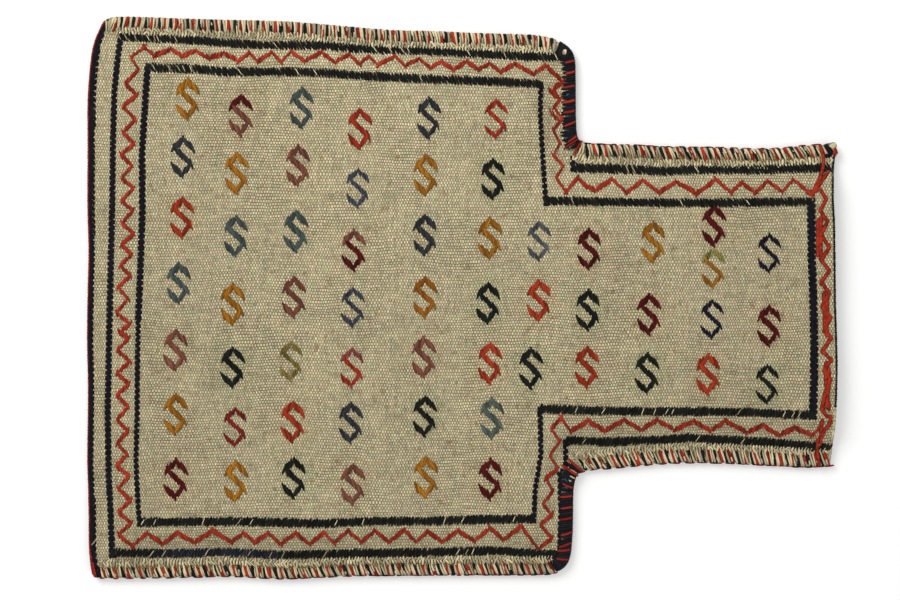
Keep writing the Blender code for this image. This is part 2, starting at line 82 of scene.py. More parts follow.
camera = bpy.data.objects.new("camera", bpy.data.cameras.new("camera"))
bpy.context.scene.collection.objects.link(camera)
camera.data.lens = LENS_MM
camera.data.sensor_width = SENSOR_MM
camera_place = photo_place(PHOTO_SIZE[0] / 2, PHOTO_SIZE[1] / 2)
camera_distance = PHOTO_SIZE[0] * PIXEL * LENS_MM / SENSOR_MM
camera.location = (camera_place.x, camera_place.y, EDGE_HEIGHT + camera_distance)
bpy.context.scene.camera = camera
bpy.context.scene.view_settings.view_transform = "Standard"

# Floor and light. A pale floor that shows white to the camera and keeps the bag's shadow, under
# one large soft lamp from the photograph's upper left, a weaker one from the right and a pale sky.
FLOOR_SIZE = 6
FLOOR_COLOUR = (0.86, 0.86, 0.85, 1)
FLOOR_ROUGHNESS = 0.9
FLOOR_GLOW = 0.30
SKY_COLOUR = (1.0, 1.0, 1.0, 1)
SKY_STRENGTH = 0.42
LAMPS = {
    # watts, size of the lamp, where it stands
    "key_lamp": (33, 1.3, (-1.15, 1.25, 1.5)),
    "fill_lamp": (9, 1.6, (1.5, -0.9, 1.7)),
}


def new_node(tree, kind, inputs=None, **settings):
    """Add a node; its inputs are values or other nodes' sockets, by name or number."""
    made = tree.nodes.new(kind)
    for name, value in settings.items():
        setattr(made, name, value)
    for key, value in (inputs or {}).items():
        if isinstance(value, bpy.types.NodeSocket):
            tree.links.new(value, made.inputs[key])
        else:
            made.inputs[key].default_value = value
    return made


def calculate(tree, operation, *values, clamp=False):
    """A Math node's result."""
    made = new_node(tree, "ShaderNodeMath", dict(enumerate(values)), operation=operation,
                    use_clamp=clamp)
    return made.outputs[0]


def new_material(name, **principled):
    """A material with its Principled shader's plain values set."""
    material = bpy.data.materials.new(name)
    material.use_nodes = True
    shader = material.node_tree.nodes["Principled BSDF"]
    for socket, value in principled.items():
        shader.inputs[socket.replace("_", " ")].default_value = value
    return material, material.node_tree, shader


def new_piece(name, mesh, material=None):
    """A finished piece of the bag, with its place in its mesh."""
    obj = bpy.data.objects.new(name, mesh)
    bpy.context.scene.collection.objects.link(obj)
    if material is not None:
        mesh.materials.clear()
        mesh.materials.append(material)
    return obj


floor_mesh = bpy.data.meshes.new("floor")
half = FLOOR_SIZE / 2
floor_mesh.from_pydata([(-half, -half, 0), (half, -half, 0), (half, half, 0), (-half, half, 0)],
                       [], [(0, 1, 2, 3)])
floor_material, tree, shader = new_material("pale_floor", Base_Color=FLOOR_COLOUR,
                                            Roughness=FLOOR_ROUGHNESS)
rays = new_node(tree, "ShaderNodeLightPath")
seen = calculate(tree, "MAXIMUM", rays.outputs["Is Camera Ray"], rays.outputs["Is Glossy Ray"])
seen = calculate(tree, "MAXIMUM", seen, rays.outputs["Is Transmission Ray"])
shader.inputs["Emission Color"].default_value = (1, 1, 1, 1)
tree.links.new(calculate(tree, "MULTIPLY", seen, FLOOR_GLOW), shader.inputs["Emission Strength"])
floor = new_piece("floor", floor_mesh, floor_material)
floor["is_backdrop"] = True

world = bpy.data.worlds.new("sky")
bpy.context.scene.world = world
world.use_nodes = True
world.node_tree.nodes["Background"].inputs["Color"].default_value = SKY_COLOUR
world.node_tree.nodes["Background"].inputs["Strength"].default_value = SKY_STRENGTH
for name, (watts, size, place) in LAMPS.items():
    lamp = bpy.data.objects.new(name, bpy.data.lights.new(name, "AREA"))
    bpy.context.scene.collection.objects.link(lamp)
    lamp.data.energy = watts
    lamp.data.size = size
    lamp.location = place
    lamp.rotation_euler = (-Vector(place)).to_track_quat("-Z", "Y").to_euler()

# Cloth. One strip of ivory wool in plain weave, folded at the bottom, so that front and back are
# one piece; its edges are pinched flat by the seams and the layers swell apart between them.
RIGHT_SIDE = [
    (830, 466), (807, 467.5), (780, 466), (740, 464), (700, 462.5), (661, 463.6), (630, 466.8),
    (600, 469.3), (586, 470.3), (579.5, 472.5), (575.7, 478.8), (573.6, 492), (573.7, 521),
    (572.7, 543), (570.9, 559), (565.5, 568.4), (556, 573.5), (542, 575), (500, 575),
    (410, 575.5), (375, 575.6), (330, 576.8), (300, 578.8), (275, 579.2), (255, 577.8),
    (228, 576.4), (180, 577.8), (122, 578.5), (104, 578.6), (98, 578.4),
    (94.6, 578),
]
FOLD = [
    (92.6, 576.6), (91.6, 573), (90.6, 568), (89.6, 560), (88.4, 545), (88.8, 520),
    (88.2, 490), (87, 460), (87.6, 430), (88, 400), (87.8, 370), (86.8, 340), (87.4, 310),
    (87.9, 280), (88.8, 250),
    (87.6, 220), (87.2, 190), (87.5, 160), (87.3, 130), (87, 105), (88.3, 80), (89.8, 62),
    (92.3, 46), (94.6, 39.5), (97.3, 32.5), (101.2, 24.5), (103.4, 20.6),
]
LEFT_SIDE = [
    (107.2, 17.8), (112, 16.2), (130, 15.6), (169, 17.2), (208, 18.6), (240, 19.3), (271, 19.9),
    (292, 20.9), (330, 24), (380, 28.8), (410, 30), (436, 30.2), (470, 32.2), (520, 33.4),
    (541, 34.6), (560.4, 39.6), (572.1, 48.8), (575.7, 58), (576.3, 72), (576.5, 130), (578.7, 139.8),
    (585, 143.4), (603, 144.4), (640, 144.9), (660, 146.8), (700, 147), (745, 148.4),
    (765, 149), (788, 147.2), (816, 144.6), (834, 143.5),
]
MOUTH = [
    (836, 156), (833.8, 173), (832.6, 198), (834.3, 220), (834.8, 265), (835.2, 300),
    (836.2, 330), (837, 368), (836, 400), (834.3, 430), (832.8, 450), (831, 462),
]
OUTLINE_STEP = 0.0025
EDGE_YARN = 0.0016            # the cloth's own edge, inside the stitches
FOLD_YARN = 0.0031            # where the bend of the fold begins
MOUTH_YARN = 0.0010
CLOTH_MESH = 0.0030
MESH_CLEARANCE = 0.7 * CLOTH_MESH
BEND_STEPS = 6
CLOTH_WALL = 0.0018
WAVES = (
    # size of the waves, height, on the front
    (0.110, 0.0011),
    (0.045, 0.0005),
    (0.018, 0.00022),
)
WAVES_APART = 40              # keeps the waves of each size different
MIDDLE_SAG = 0.0012
SAG_RUN = 0.1
WARP_PITCH = 0.00200
PICK_PITCH = 0.00095


def evenly(path, step):
    """Points at even steps along a path."""
    result = [path[0].copy()]
    carried = 0.0
    for start, end in zip(path, path[1:]):
        length = (end - start).length
        while length > 0 and carried + length >= step:
            share = (step - carried) / length
            start = start.lerp(end, share)
            length = (end - start).length
            result.append(start.copy())
            carried = 0.0
        carried += length
    if (result[-1] - path[-1]).length > step / 3:
        result.append(path[-1].copy())
    return result


def softened(path, rounds=2):
    """A path with its corners cut, its ends kept."""
    for _ in range(rounds):
        cut = [path[0]]
        for start, end in zip(path, path[1:]):
            cut += [start.lerp(end, 0.25), start.lerp(end, 0.75)]
        path = cut + [path[-1]]
    return path


def inward_at(path, index):
    """Direction into the bag at a point of its outline, which runs clockwise."""
    before = path[max(index - 1, 0)]
    after = path[min(index + 1, len(path) - 1)]
    along = (after - before).normalized()
    return Vector((along.y, -along.x))


def shifted(path, distance):
    """A path moved into the bag; distance is a number or one number for each point."""
    return [point + inward_at(path, index) * (distance if isinstance(distance, float)
            else distance[index]) for index, point in enumerate(path)]


def nearest(path, place):
    """Number of the path's point that is nearest to a place."""
    return min(range(len(path)), key=lambda index: (path[index] - place).length_squared)


outline = evenly(softened(photo_path(RIGHT_SIDE + FOLD + LEFT_SIDE)), OUTLINE_STEP)


def outline_number(pixel):
    """Number of the outline's point that is nearest to a pixel."""
    return nearest(outline, photo_place(*pixel))


def search_tree(places):
    """A search tree for the nearest of some places; each goes in with its number."""
    tree = kdtree.KDTree(len(places))
    for place, number in places:
        tree.insert((place.x, place.y, 0), number)
    tree.balance()
    return tree


fold_start = outline_number(FOLD[0])
fold_end = outline_number(FOLD[-1])
mouth = evenly(softened(photo_path(MOUTH)), OUTLINE_STEP)

cad_cloth = bmesh.new()
cad_cloth.from_mesh(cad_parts["cloth"].data)
cad_tree = BVHTree.FromBMesh(cad_cloth)
cad_cloth.free()
SAMPLE_STEPS = 24
SAMPLE_START = 0.004
SAMPLE_END = 0.042
SAMPLE_LINE = 0.003           # how far beside the middle line of the bag
HAIR = 1e-5
SAME_PLACE = 1e-7


def surfaces_above(x, y):
    """Heights at which an upright line meets the solid cloth: back, inside, front."""
    heights = []
    start = -1.0
    while len(heights) < 3:
        hit = cad_tree.ray_cast(Vector((x, y, start)), Vector((0, 0, 1)))[0]
        if hit is None:
            break
        heights.append(hit.z)
        start = hit.z + HAIR
    return heights


cloth_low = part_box("cloth")[0]
profile = []
for step in range(SAMPLE_STEPS):
    inset = SAMPLE_START + (SAMPLE_END - SAMPLE_START) * step / (SAMPLE_STEPS - 1)
    back_outside, back_inside, front_inside = surfaces_above(cloth_low[0] + inset, SAMPLE_LINE)
    wall = back_inside - back_outside
    profile.append((inset, back_outside + wall / 2, front_inside + wall / 2))
MARGIN_BACK, MARGIN_FRONT = profile[0][1:]
MARGIN_TOP = MARGIN_FRONT + CLOTH_WALL / 2
CENTRE_FRONT = profile[-1][2]


def layer_heights(inset):
    """Heights of the back and front layer's middles at a distance from the edge."""
    if inset <= profile[0][0]:
        return profile[0][1:]
    for (near, back_a, front_a), (far, back_b, front_b) in zip(profile, profile[1:]):
        if inset <= far:
            share = (inset - near) / (far - near)
            return back_a + (back_b - back_a) * share, front_a + (front_b - front_a) * share
    return profile[-1][1:]


edge_tree = search_tree([(point, number) for number, point in enumerate(outline)])


def cloth_heights(point):
    """Heights of back and front at a place, with the soft waves of slack cloth."""
    inset = edge_tree.find((point.x, point.y, 0))[2]
    back, front = layer_heights(inset)
    swell = (front - MARGIN_FRONT) / (CENTRE_FRONT - MARGIN_FRONT)
    wave = 0.0
    for size, height in WAVES:
        wave += height * noise.noise(Vector((point.x / size, point.y / size,
                                             size * WAVES_APART)))
    sag = MIDDLE_SAG * min(max((inset - SAMPLE_END) / SAG_RUN, 0), 1)
    return back, front + swell * (wave - sag)


def front_place(across, down):
    """A pixel of the photograph as a place on the bag's front, which is nearer to the camera."""
    place = photo_place(across, down)
    rise = cloth_heights(place)[1] - EDGE_HEIGHT
    return camera_place + (place - camera_place) * (1 - rise / camera_distance)


def front_path(pixels):
    """A list of pixels as a path on the bag's front."""
    return [front_place(*pixel) for pixel in pixels]


insets = [FOLD_YARN if fold_start <= index <= fold_end else EDGE_YARN
          for index in range(len(outline))]
cloth_edge = shifted(outline, insets)
mouth_edge = [point - Vector((MOUTH_YARN, 0)) for point in mouth]
boundary = cloth_edge + mouth_edge
edges = [(index, (index + 1) % len(boundary)) for index in range(len(boundary))]


def inside(point, loop):
    """Whether a place lies inside a closed loop."""
    result = False
    for start, end in zip(loop, loop[1:] + loop[:1]):
        if (start.y > point.y) != (end.y > point.y):
            if point.x < start.x + (end.x - start.x) * (point.y - start.y) / (end.y - start.y):
                result = not result
    return result


coarse = boundary[::4]
BAG_LENGTH = cad_box[1][0] - cad_box[0][0]
BAG_WIDTH = cad_box[1][1] - cad_box[0][1]
mouth_tree = search_tree([(point, number) for number, point in enumerate(mouth_edge)])
interior = []
for row in range(int(BAG_WIDTH / CLOTH_MESH) + 1):
    for column in range(int(BAG_LENGTH / CLOTH_MESH) + 1):
        point = Vector((cad_box[0][0] + (column + 0.5 * (row % 2)) * CLOTH_MESH,
                        cad_box[0][1] + row * CLOTH_MESH))
        flat = (point.x, point.y, 0)
        clear = edge_tree.find(flat)[2] > FOLD_YARN + MESH_CLEARANCE
        if clear and mouth_tree.find(flat)[2] > MESH_CLEARANCE and inside(point, coarse):
            interior.append(point)
points, _, triangles, _, _, _ = delaunay_2d_cdt(boundary + interior, edges, [], 1,
                                                SAME_PLACE)
count = len(points)
heights = [cloth_heights(point) for point in points]
vertices = [(p.x, p.y, h[0]) for p, h in zip(points, heights)]
vertices += [(p.x, p.y, h[1]) for p, h in zip(points, heights)]
faces = [tuple(face) for face in triangles]
faces += [tuple(number + count for number in reversed(face)) for face in triangles]
columns = []
for index in range(fold_start, fold_end + 1):
    edge = boundary[index]
    number = nearest(points, edge)
    low, high = heights[number]
    outwards = -inward_at(outline, index)
    radius = (high - low) / 2
    column = [number]
    for step in range(1, BEND_STEPS):
        angle = math.pi * step / BEND_STEPS
        place = edge + outwards * radius * math.sin(angle)
        vertices.append((place.x, place.y, (low + high) / 2 - radius * math.cos(angle)))
        column.append(len(vertices) - 1)
    columns.append(column + [number + count])
for column, following in zip(columns, columns[1:]):
    for step in range(BEND_STEPS):
        faces.append((column[step], column[step + 1], following[step + 1], following[step]))
cloth_mesh = bpy.data.meshes.new("cloth_sheet")
cloth_mesh.from_pydata(vertices, [], faces)
sheet = bmesh.new()
sheet.from_mesh(cloth_mesh)
bmesh.ops.recalc_face_normals(sheet, faces=sheet.faces)
sheet.to_mesh(cloth_mesh)
sheet.free()

# Where the motifs stand; they come here because their dye has spread into the cloth around them.
HOOK_LINE = ((9.4, 9.3), (0.3, 16.6), (-9.2, 9.4), (8.6, -7.2), (-1.0, -17.0), (-9.6, -10.2))
WIDE = 2
THIN = 1
HOOKS = (
    # middle in the photograph, yarn, rows of floats, and where it changes, the second yarn
    (188, 99, "ochre", WIDE), (183, 157, "slate", WIDE), (182.5, 217.5, "red", WIDE),
    (179, 283, "teal", WIDE), (176, 350, "mauve", WIDE), (176, 414, "ochre", WIDE),
    (176, 479, "maroon", WIDE),
    (241, 115, "maroon", WIDE, "mauve"), (237, 173, "ochre", WIDE), (236, 236, "teal", WIDE),
    (233, 304, "ochre", WIDE), (233, 367, "black", WIDE), (235.5, 427, "crimson", THIN),
    (236, 481, "ochre", WIDE),
    (302, 108, "teal", WIDE), (298, 165.5, "mauve", WIDE), (296, 231, "teal", WIDE),
    (294, 297, "plum", WIDE), (291, 361, "olive", THIN), (293, 421.5, "red", WIDE),
    (294, 478, "black", WIDE),
    (360, 129, "bright_red", WIDE), (358, 188, "blue", THIN), (354, 250, "mauve", WIDE, "maroon"),
    (353, 307, "blue", THIN), (352, 367.5, "magenta", THIN, "bright_red"),
    (351, 422.5, "navy", WIDE), (353, 484, "mauve", WIDE),
    (429, 118, "slate", WIDE), (426, 175, "ochre", WIDE), (425, 235, "navy", WIDE),
    (425, 297, "brown_ochre", WIDE), (424, 357, "mauve", WIDE), (425, 416, "black", WIDE),
    (426, 477, "ochre", WIDE),
    (496, 119, "bright_red", THIN), (493, 179, "black", WIDE), (490, 238, "ochre", WIDE),
    (488, 303, "black", WIDE), (490, 363, "red", WIDE), (492, 418, "grey_teal", WIDE),
    (490.5, 479, "maroon", WIDE),
    (539, 241, "light_slate", THIN), (539, 300.5, "red", WIDE), (531, 368, "black", WIDE),
    (589, 249, "maroon", WIDE), (588, 310, "black", WIDE), (587, 367, "red", WIDE),
    (653, 242, "ochre", WIDE), (649, 314, "maroon", WIDE), (647, 373, "black", WIDE),
    (714, 225.5, "maroon", WIDE), (713, 268, "lime", THIN, "ochre"), (712, 319, "dark_navy", THIN),
    (708, 374, "red", WIDE),
    (769, 253, "dark_navy", THIN), (769, 325.5, "maroon", WIDE), (767, 384, "black", THIN),
)
DYE_REACH = 0.0085
DYES = {
    "black": (0.89, 0.94, 0.89),
    "navy": (0.94, 0.96, 0.96),
    "maroon": (0.98, 0.92, 0.89),
    "red": (0.99, 0.95, 0.92),
    "mauve": (0.98, 0.95, 0.93),
}
SEAM_SPANS = (
    # pixels at both ends of each seam, along the outline
    ((826, 466), (586, 470)), ((550, 574), (104, 578)), ((112, 16), (552, 37)),
    ((586, 143), (830, 144)),
)
# Painted shade: the cloth beside the seams is darkened as if in the shadow of their stitches; a
# multiplier of its colour, how far in from the edge it reaches, and over what distance it fades.
SEAM_SHADE = (0.52, 0.43, 0.30)
SEAM_SHADE_REACH = 0.0135
SEAM_SHADE_FADE = 0.003
WOOL_ROUGHNESS = 0.92
WOOL_SHEEN = 0.03
WOOL_SHINE = 0.1
# Painted light of the weave: Light is a painted highlight on the yarn that passes over, Shade is
# painted shade on the yarn beneath, and the gap colour is painted shade in the hollows between the
# threads.
WEAVE_COLOURS = {
    # red, green and blue as they are seen, 0 to 255
    "Light": (224, 215, 187),
    "Shade": (160, 144, 99),
    "Gap_Shade": (54, 40, 12),
}
WEAVE_BUMP = (0.6, 0.0004)    # strength, height
DRIFTS = (
    # size of the drift, how far it moves the yarns
    (0.070, 0.0080),
    (0.012, 0.0016),
    (0.0045, 0.0010),
)
OVER_AND_UNDER = (-0.45, 0.5)
GAP_REACH = 0.5
ROW_GAP = (0.36, 0.62)        # what an open patch adds to the gap, and the gap in a tight one
PICK_GAP = 0.3
OPEN_PATCHES = (30.0, 0.4, 0.62)   # patches to a metre, tight below, open above
CELL_SPREAD = 0.36
SLUB_SPREAD = 0.5
SLUB_LENGTH = 0.014
SLUB_APART = 7.31             # keeps the slubs of neighbouring threads different
TONE_BANDS = (
    # how quickly it changes in each direction, how strongly
    ((24.0, 1.5, 1.0), 0.16),
    ((6.0, 120.0, 1.0), 0.14),
    ((20.0, 20.0, 20.0), 0.12),
)
FLECK_COLOUR = (128, 98, 58)
TINT_RUNS = (120.0, 420.0, 1.0)
TINT_CHANGE = (0.35, 0.65)
PINK_TINT = (1.05, 0.98, 0.97, 1.0)
GREEN_TINT = (0.95, 1.01, 0.96, 1.0)
# The cloth's tone slopes: darker towards the fold and towards the mouth, and lighter from the right
# side towards the left side.
TONE_SLOPES = (
    # from where to where in metres, tone at both
    ("Y", -0.17, 0.16, 0.965, 1.035),
    ("X", -0.25, -0.06, 0.925, 1.01),
    ("X", 0.02, 0.20, 1.0, 0.955),
)
FLECKS = (220.0, 0.60, 0.75)  # flecks to a metre, clean below, soiled above
FLECK_STRENGTH = 0.55
SHARP_ANGLE = math.radians(60)


def seen_colour(red, green, blue):
    """A colour as it is seen, in the linear values that a shader takes."""
    linear = []
    for value in (red, green, blue):
        share = value / 255
        linear.append(share / 12.92 if share <= 0.04045 else ((share + 0.055) / 1.055) ** 2.4)
    return (*linear, 1.0)


def vector_math(tree, operation, *values):
    """A Vector Math node's result; the second value of a scale is a number."""
    keys = (0, "Scale") if operation == "SCALE" else range(len(values))
    made = new_node(tree, "ShaderNodeVectorMath", dict(zip(keys, values)), operation=operation)
    return made.outputs[0]


def noise_at(tree, place, scale, detail, output="Fac", **settings):
    """A Noise Texture node's result."""
    made = new_node(tree, "ShaderNodeTexNoise",
                    {"Vector": place, "Scale": scale, "Detail": detail}, **settings)
    return made.outputs[output]


def ramp(tree, value, low, high, first=0.0, last=1.0, kind="SMOOTHSTEP"):
    """The first number below one value, the last number above another."""
    made = new_node(tree, "ShaderNodeMapRange", {
        "Value": value, "From Min": low, "From Max": high, "To Min": first, "To Max": last},
        interpolation_type=kind)
    return made.outputs[0]


def mixed(tree, share, first, second, blend="MIX"):
    """Two colours mixed."""
    made = new_node(tree, "ShaderNodeMix", {"Factor": share, 6: first, 7: second},
                    data_type="RGBA", blend_type=blend)
    return made.outputs[2]


def shader_group(name, colours, numbers):
    """A shader group with named inputs, and its place on the piece."""
    group = bpy.data.node_groups.new(name, "ShaderNodeTree")
    sockets = [(colour, "INPUT", "Color") for colour in colours]
    sockets += [(number, "INPUT", "Float") for number in numbers]
    sockets += [("Colour", "OUTPUT", "Color"), ("Height", "OUTPUT", "Float")]
    for socket, way, kind in sockets:
        group.interface.new_socket(name=socket, in_out=way, socket_type=f"NodeSocket{kind}")
    place = new_node(group, "ShaderNodeTexCoord").outputs["Object"]
    return group, group.nodes.new("NodeGroupInput").outputs, place


def wool_material(name, group, strength, distance):
    """Matt wool with its colour and relief from a shader group."""
    material, tree, shader = new_material(name, Roughness=WOOL_ROUGHNESS,
                                          Sheen_Weight=WOOL_SHEEN, Specular_IOR_Level=WOOL_SHINE)
    inner = new_node(tree, "ShaderNodeGroup", node_tree=group)
    bump = new_node(tree, "ShaderNodeBump", {"Height": inner.outputs["Height"],
                                             "Strength": strength, "Distance": distance})
    tree.links.new(bump.outputs["Normal"], shader.inputs["Normal"])
    tree.links.new(inner.outputs["Colour"], shader.inputs["Base Color"])
    return material, tree, shader, inner


def weave_group():
    """Shader group: plain weave of uneven yarn, with its light and shade painted in."""
    group, entry, place = shader_group("plain_weave", ("Light", "Shade", "Gap_Shade"),
                                       ("Warp Pitch", "Pick Pitch"))
    moved = place
    for size, amount in DRIFTS:
        drift = noise_at(group, place, 1 / size, 1.0, "Color")
        drift = vector_math(group, "SUBTRACT", drift, (0.5, 0.5, 0.5))
        moved = vector_math(group, "MULTIPLY_ADD", drift, (amount, amount, 0), moved)
    parts = new_node(group, "ShaderNodeSeparateXYZ", {0: moved}).outputs
    pick = calculate(group, "DIVIDE", parts["X"], entry["Pick Pitch"])
    warp = calculate(group, "DIVIDE", parts["Y"], entry["Warp Pitch"])
    pick_wave = calculate(group, "SINE", calculate(group, "MULTIPLY", pick, math.pi))
    warp_wave = calculate(group, "SINE", calculate(group, "MULTIPLY", warp, math.pi))
    over = ramp(group, calculate(group, "MULTIPLY", pick_wave, warp_wave), *OVER_AND_UNDER)
    patch_scale, tight, loose = OPEN_PATCHES
    style = ramp(group, noise_at(group, place, patch_scale, 1.0), tight, loose)
    near_pick = ramp(group, calculate(group, "ABSOLUTE", pick_wave), GAP_REACH, 0.0)
    near_warp = ramp(group, calculate(group, "ABSOLUTE", warp_wave), GAP_REACH, 0.0)
    corner = calculate(group, "MULTIPLY", near_pick, near_warp)
    row = calculate(group, "MULTIPLY", near_warp,
                    calculate(group, "MULTIPLY_ADD", style, *ROW_GAP))
    gap = calculate(group, "MAXIMUM", corner, row)
    gap = calculate(group, "MAXIMUM", gap, calculate(group, "MULTIPLY", near_pick, PICK_GAP))
    # Painted highlight where a pick passes over, painted shade where it passes under and in the gaps.
    threads = mixed(group, over, entry["Shade"], entry["Light"])
    threads = mixed(group, gap, threads, entry["Gap_Shade"])
    pick_number = calculate(group, "FLOOR", pick)
    warp_number = calculate(group, "FLOOR", warp)
    cell = new_node(group, "ShaderNodeCombineXYZ", {0: pick_number, 1: warp_number})
    grain = new_node(group, "ShaderNodeTexWhiteNoise", {"Vector": cell.outputs[0]},
                     noise_dimensions="2D").outputs["Value"]
    tone = calculate(group, "MULTIPLY_ADD", grain, CELL_SPREAD, 1 - CELL_SPREAD / 2)
    changes = []
    for number, along in ((pick_number, parts["Y"]), (warp_number, parts["X"])):
        line = new_node(group, "ShaderNodeCombineXYZ", {
            0: calculate(group, "MULTIPLY", number, SLUB_APART),
            1: calculate(group, "MULTIPLY", along, 1 / SLUB_LENGTH)}).outputs[0]
        changes.append((noise_at(group, line, 1.0, 1.0, noise_dimensions="2D"), SLUB_SPREAD))
    for stretch, spread in TONE_BANDS:
        bands = new_node(group, "ShaderNodeMapping", {"Vector": place, "Scale": stretch})
        changes.append((noise_at(group, bands.outputs[0], 1.0, 3.0), spread))
    for change, spread in changes:
        tone = calculate(group, "MULTIPLY_ADD", change, spread,
                         calculate(group, "SUBTRACT", tone, spread / 2))
    for axis, low, high, first, last in TONE_SLOPES:
        fade = ramp(group, parts[axis], low, high, first, last)
        tone = calculate(group, "MULTIPLY", tone, fade)
    colour = vector_math(group, "SCALE", threads, tone)
    tint = new_node(group, "ShaderNodeMapping", {"Vector": place, "Scale": TINT_RUNS})
    tint = ramp(group, noise_at(group, tint.outputs[0], 1.0, 2.0), *TINT_CHANGE)
    colour = vector_math(group, "MULTIPLY", colour, mixed(group, tint, PINK_TINT, GREEN_TINT))
    fleck_scale, clean, fleck = FLECKS
    grime = ramp(group, noise_at(group, place, fleck_scale, 2.0), clean, fleck)
    grime = calculate(group, "MULTIPLY", grime, FLECK_STRENGTH)
    height = calculate(group, "MULTIPLY", calculate(group, "SUBTRACT", 1.0, gap),
                       calculate(group, "MULTIPLY_ADD", over, 0.5, 0.5))
    new_node(group, "NodeGroupOutput", {
        "Colour": mixed(group, grime, colour, seen_colour(*FLECK_COLOUR)), "Height": height})
    return group


def finished_mesh(obj):
    """An object's mesh with its modifiers applied; the object itself is removed."""
    depsgraph = bpy.context.evaluated_depsgraph_get()
    mesh = bpy.data.meshes.new_from_object(obj.evaluated_get(depsgraph), depsgraph=depsgraph,
                                           preserve_all_data_layers=True)
    bpy.data.objects.remove(obj, do_unlink=True)
    return mesh


# Each point of the cloth gets a colour multiplier: the dye that has spread from the motifs, and
# painted shade beside the seams.
dye_and_seam_shade = cloth_mesh.attributes.new("dye_and_seam_shade", "FLOAT_COLOR", "POINT")
stains = [(front_place(*hook[:2]), DYES[hook[2]]) for hook in HOOKS if hook[2] in DYES]
hook_run = [Vector(point) * PIXEL for point in HOOK_LINE]
stain_tree = search_tree([(middle + point, number) for number, (middle, _) in enumerate(stains)
                          for point in hook_run])
seam_spans = [(outline_number(first), outline_number(last)) for first, last in SEAM_SPANS]
for number, vertex in enumerate(cloth_mesh.vertices):
    colour = (1.0, 1.0, 1.0)
    if count <= number < 2 * count:
        _, stain, distance = stain_tree.find((vertex.co.x, vertex.co.y, 0))
        strength = math.exp(-((distance / DYE_REACH) ** 2))
        colour = tuple(1 + (part - 1) * strength for part in stains[stain][1])
    # Painted shade under and between the seam stitches, fading away from the edge.
    _, index, inset = edge_tree.find((vertex.co.x, vertex.co.y, 0))
    if any(first <= index <= last for first, last in seam_spans):
        strength = min(max((SEAM_SHADE_REACH - inset) / SEAM_SHADE_FADE, 0), 1)
        colour = tuple(part * (1 + (shade - 1) * strength)
                       for part, shade in zip(colour, SEAM_SHADE))
    dye_and_seam_shade.data[number].color = (*colour, 1.0)

ivory_weave, tree, shader, weave = wool_material("ivory_weave", weave_group(), *WEAVE_BUMP)
weave.inputs["Warp Pitch"].default_value = WARP_PITCH
weave.inputs["Pick Pitch"].default_value = PICK_PITCH
for thread, colour in WEAVE_COLOURS.items():
    weave.inputs[thread].default_value = seen_colour(*colour)
# The weave's colour is multiplied by the spread dye and by the painted seam shade.
stain = new_node(tree, "ShaderNodeAttribute", attribute_name="dye_and_seam_shade").outputs["Color"]
tree.links.new(mixed(tree, 1.0, weave.outputs["Colour"], stain, "MULTIPLY"),
               shader.inputs["Base Color"])
sheet_object = new_piece("cloth_sheet", cloth_mesh, ivory_weave)
wall = sheet_object.modifiers.new("wall", "SOLIDIFY")
wall.thickness = CLOTH_WALL
wall.offset = 0
wall.use_even_offset = True
cloth_mesh = finished_mesh(sheet_object)
cloth_mesh.shade_smooth()
cloth_mesh.set_sharp_from_angle(angle=SHARP_ANGLE)
cloth = new_piece("bag_cloth", cloth_mesh, ivory_weave)
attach(cloth, "root")
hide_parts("cloth")

# Hook motifs. Each is a supplementary wool yarn, wrapped over the warps in short leaning floats
# while the cloth was woven; the yarns are dyed in many shades, and every float has its own tone.
SECOND_START = 2.6            # the lower half's first float overlaps the upper half's last
FLOATS = {
    # length, width
    WIDE: (0.0086, 0.00182),
    THIN: (0.0070, 0.00152),
}
FLOAT_STEP = 0.00178          # from float to float along the warps
FLOAT_HEIGHT = 0.00110
FLOAT_TILT = math.radians(70)
FIBRE_SIZE = 0.00035
YARN_BUMP = (0.35, 0.0003)    # strength, height
DYE_PATCH_SCALE = 60.0
NOISE_SPAN = (0.3, 0.7)
YARN_TONES = (0.54, 1.26)
FIBRE_TONES = (0.80, 1.20)
PATCH_TONES = (0.88, 1.12)
# Painted light on every stitch: a painted highlight along its top and painted shade down its sides,
# where its neighbours meet it.
SIDE_SPAN = (0.5, 0.86)       # from the stitch's top to its side
TOP_LIGHT_SIDE_SHADE = (1.12, 0.3)
STITCH_SIDES = 6
STITCH_RINGS = ((-0.45, 0.26), (-0.30, 0.43), (0.0, 0.5), (0.30, 0.43), (0.45, 0.26))
LIFT_SHARE = 0.18             # a stitch lies over the cloth by this share of its height
DRAWS = {
    # what each kind of random draw adds to a row's seed
    "wander": 0, "length": 7, "width": 11, "keep": 17, "slide": 23, "tone": 31,
}


def wool_group():
    """Shader group: the fibres, ply and uneven dye of a wool yarn, with painted light and shade."""
    group, entry, place = shader_group("wool_yarn", ("Colour",), ("Tone", "Side", "Fibre Size"))
    fibres = noise_at(group, place, calculate(group, "DIVIDE", 1.0, entry["Fibre Size"]), 2.0)
    patches = noise_at(group, place, DYE_PATCH_SCALE, 1.0)
    total = ramp(group, entry["Tone"], 0.0, 1.0, *YARN_TONES, kind="LINEAR")
    # Fibres and dye patches change the yarn's own colour; the side measure paints highlight on the
    # top and shade down the sides.
    for value, span, tones in ((fibres, NOISE_SPAN, FIBRE_TONES),
                               (patches, NOISE_SPAN, PATCH_TONES),
                               (entry["Side"], SIDE_SPAN, TOP_LIGHT_SIDE_SHADE)):
        total = calculate(group, "MULTIPLY", total,
                          ramp(group, value, *span, *tones, kind="LINEAR"))
    new_node(group, "NodeGroupOutput", {
        "Colour": vector_math(group, "SCALE", entry["Colour"], total), "Height": fibres})
    return group


wool = wool_group()
yarns = {}


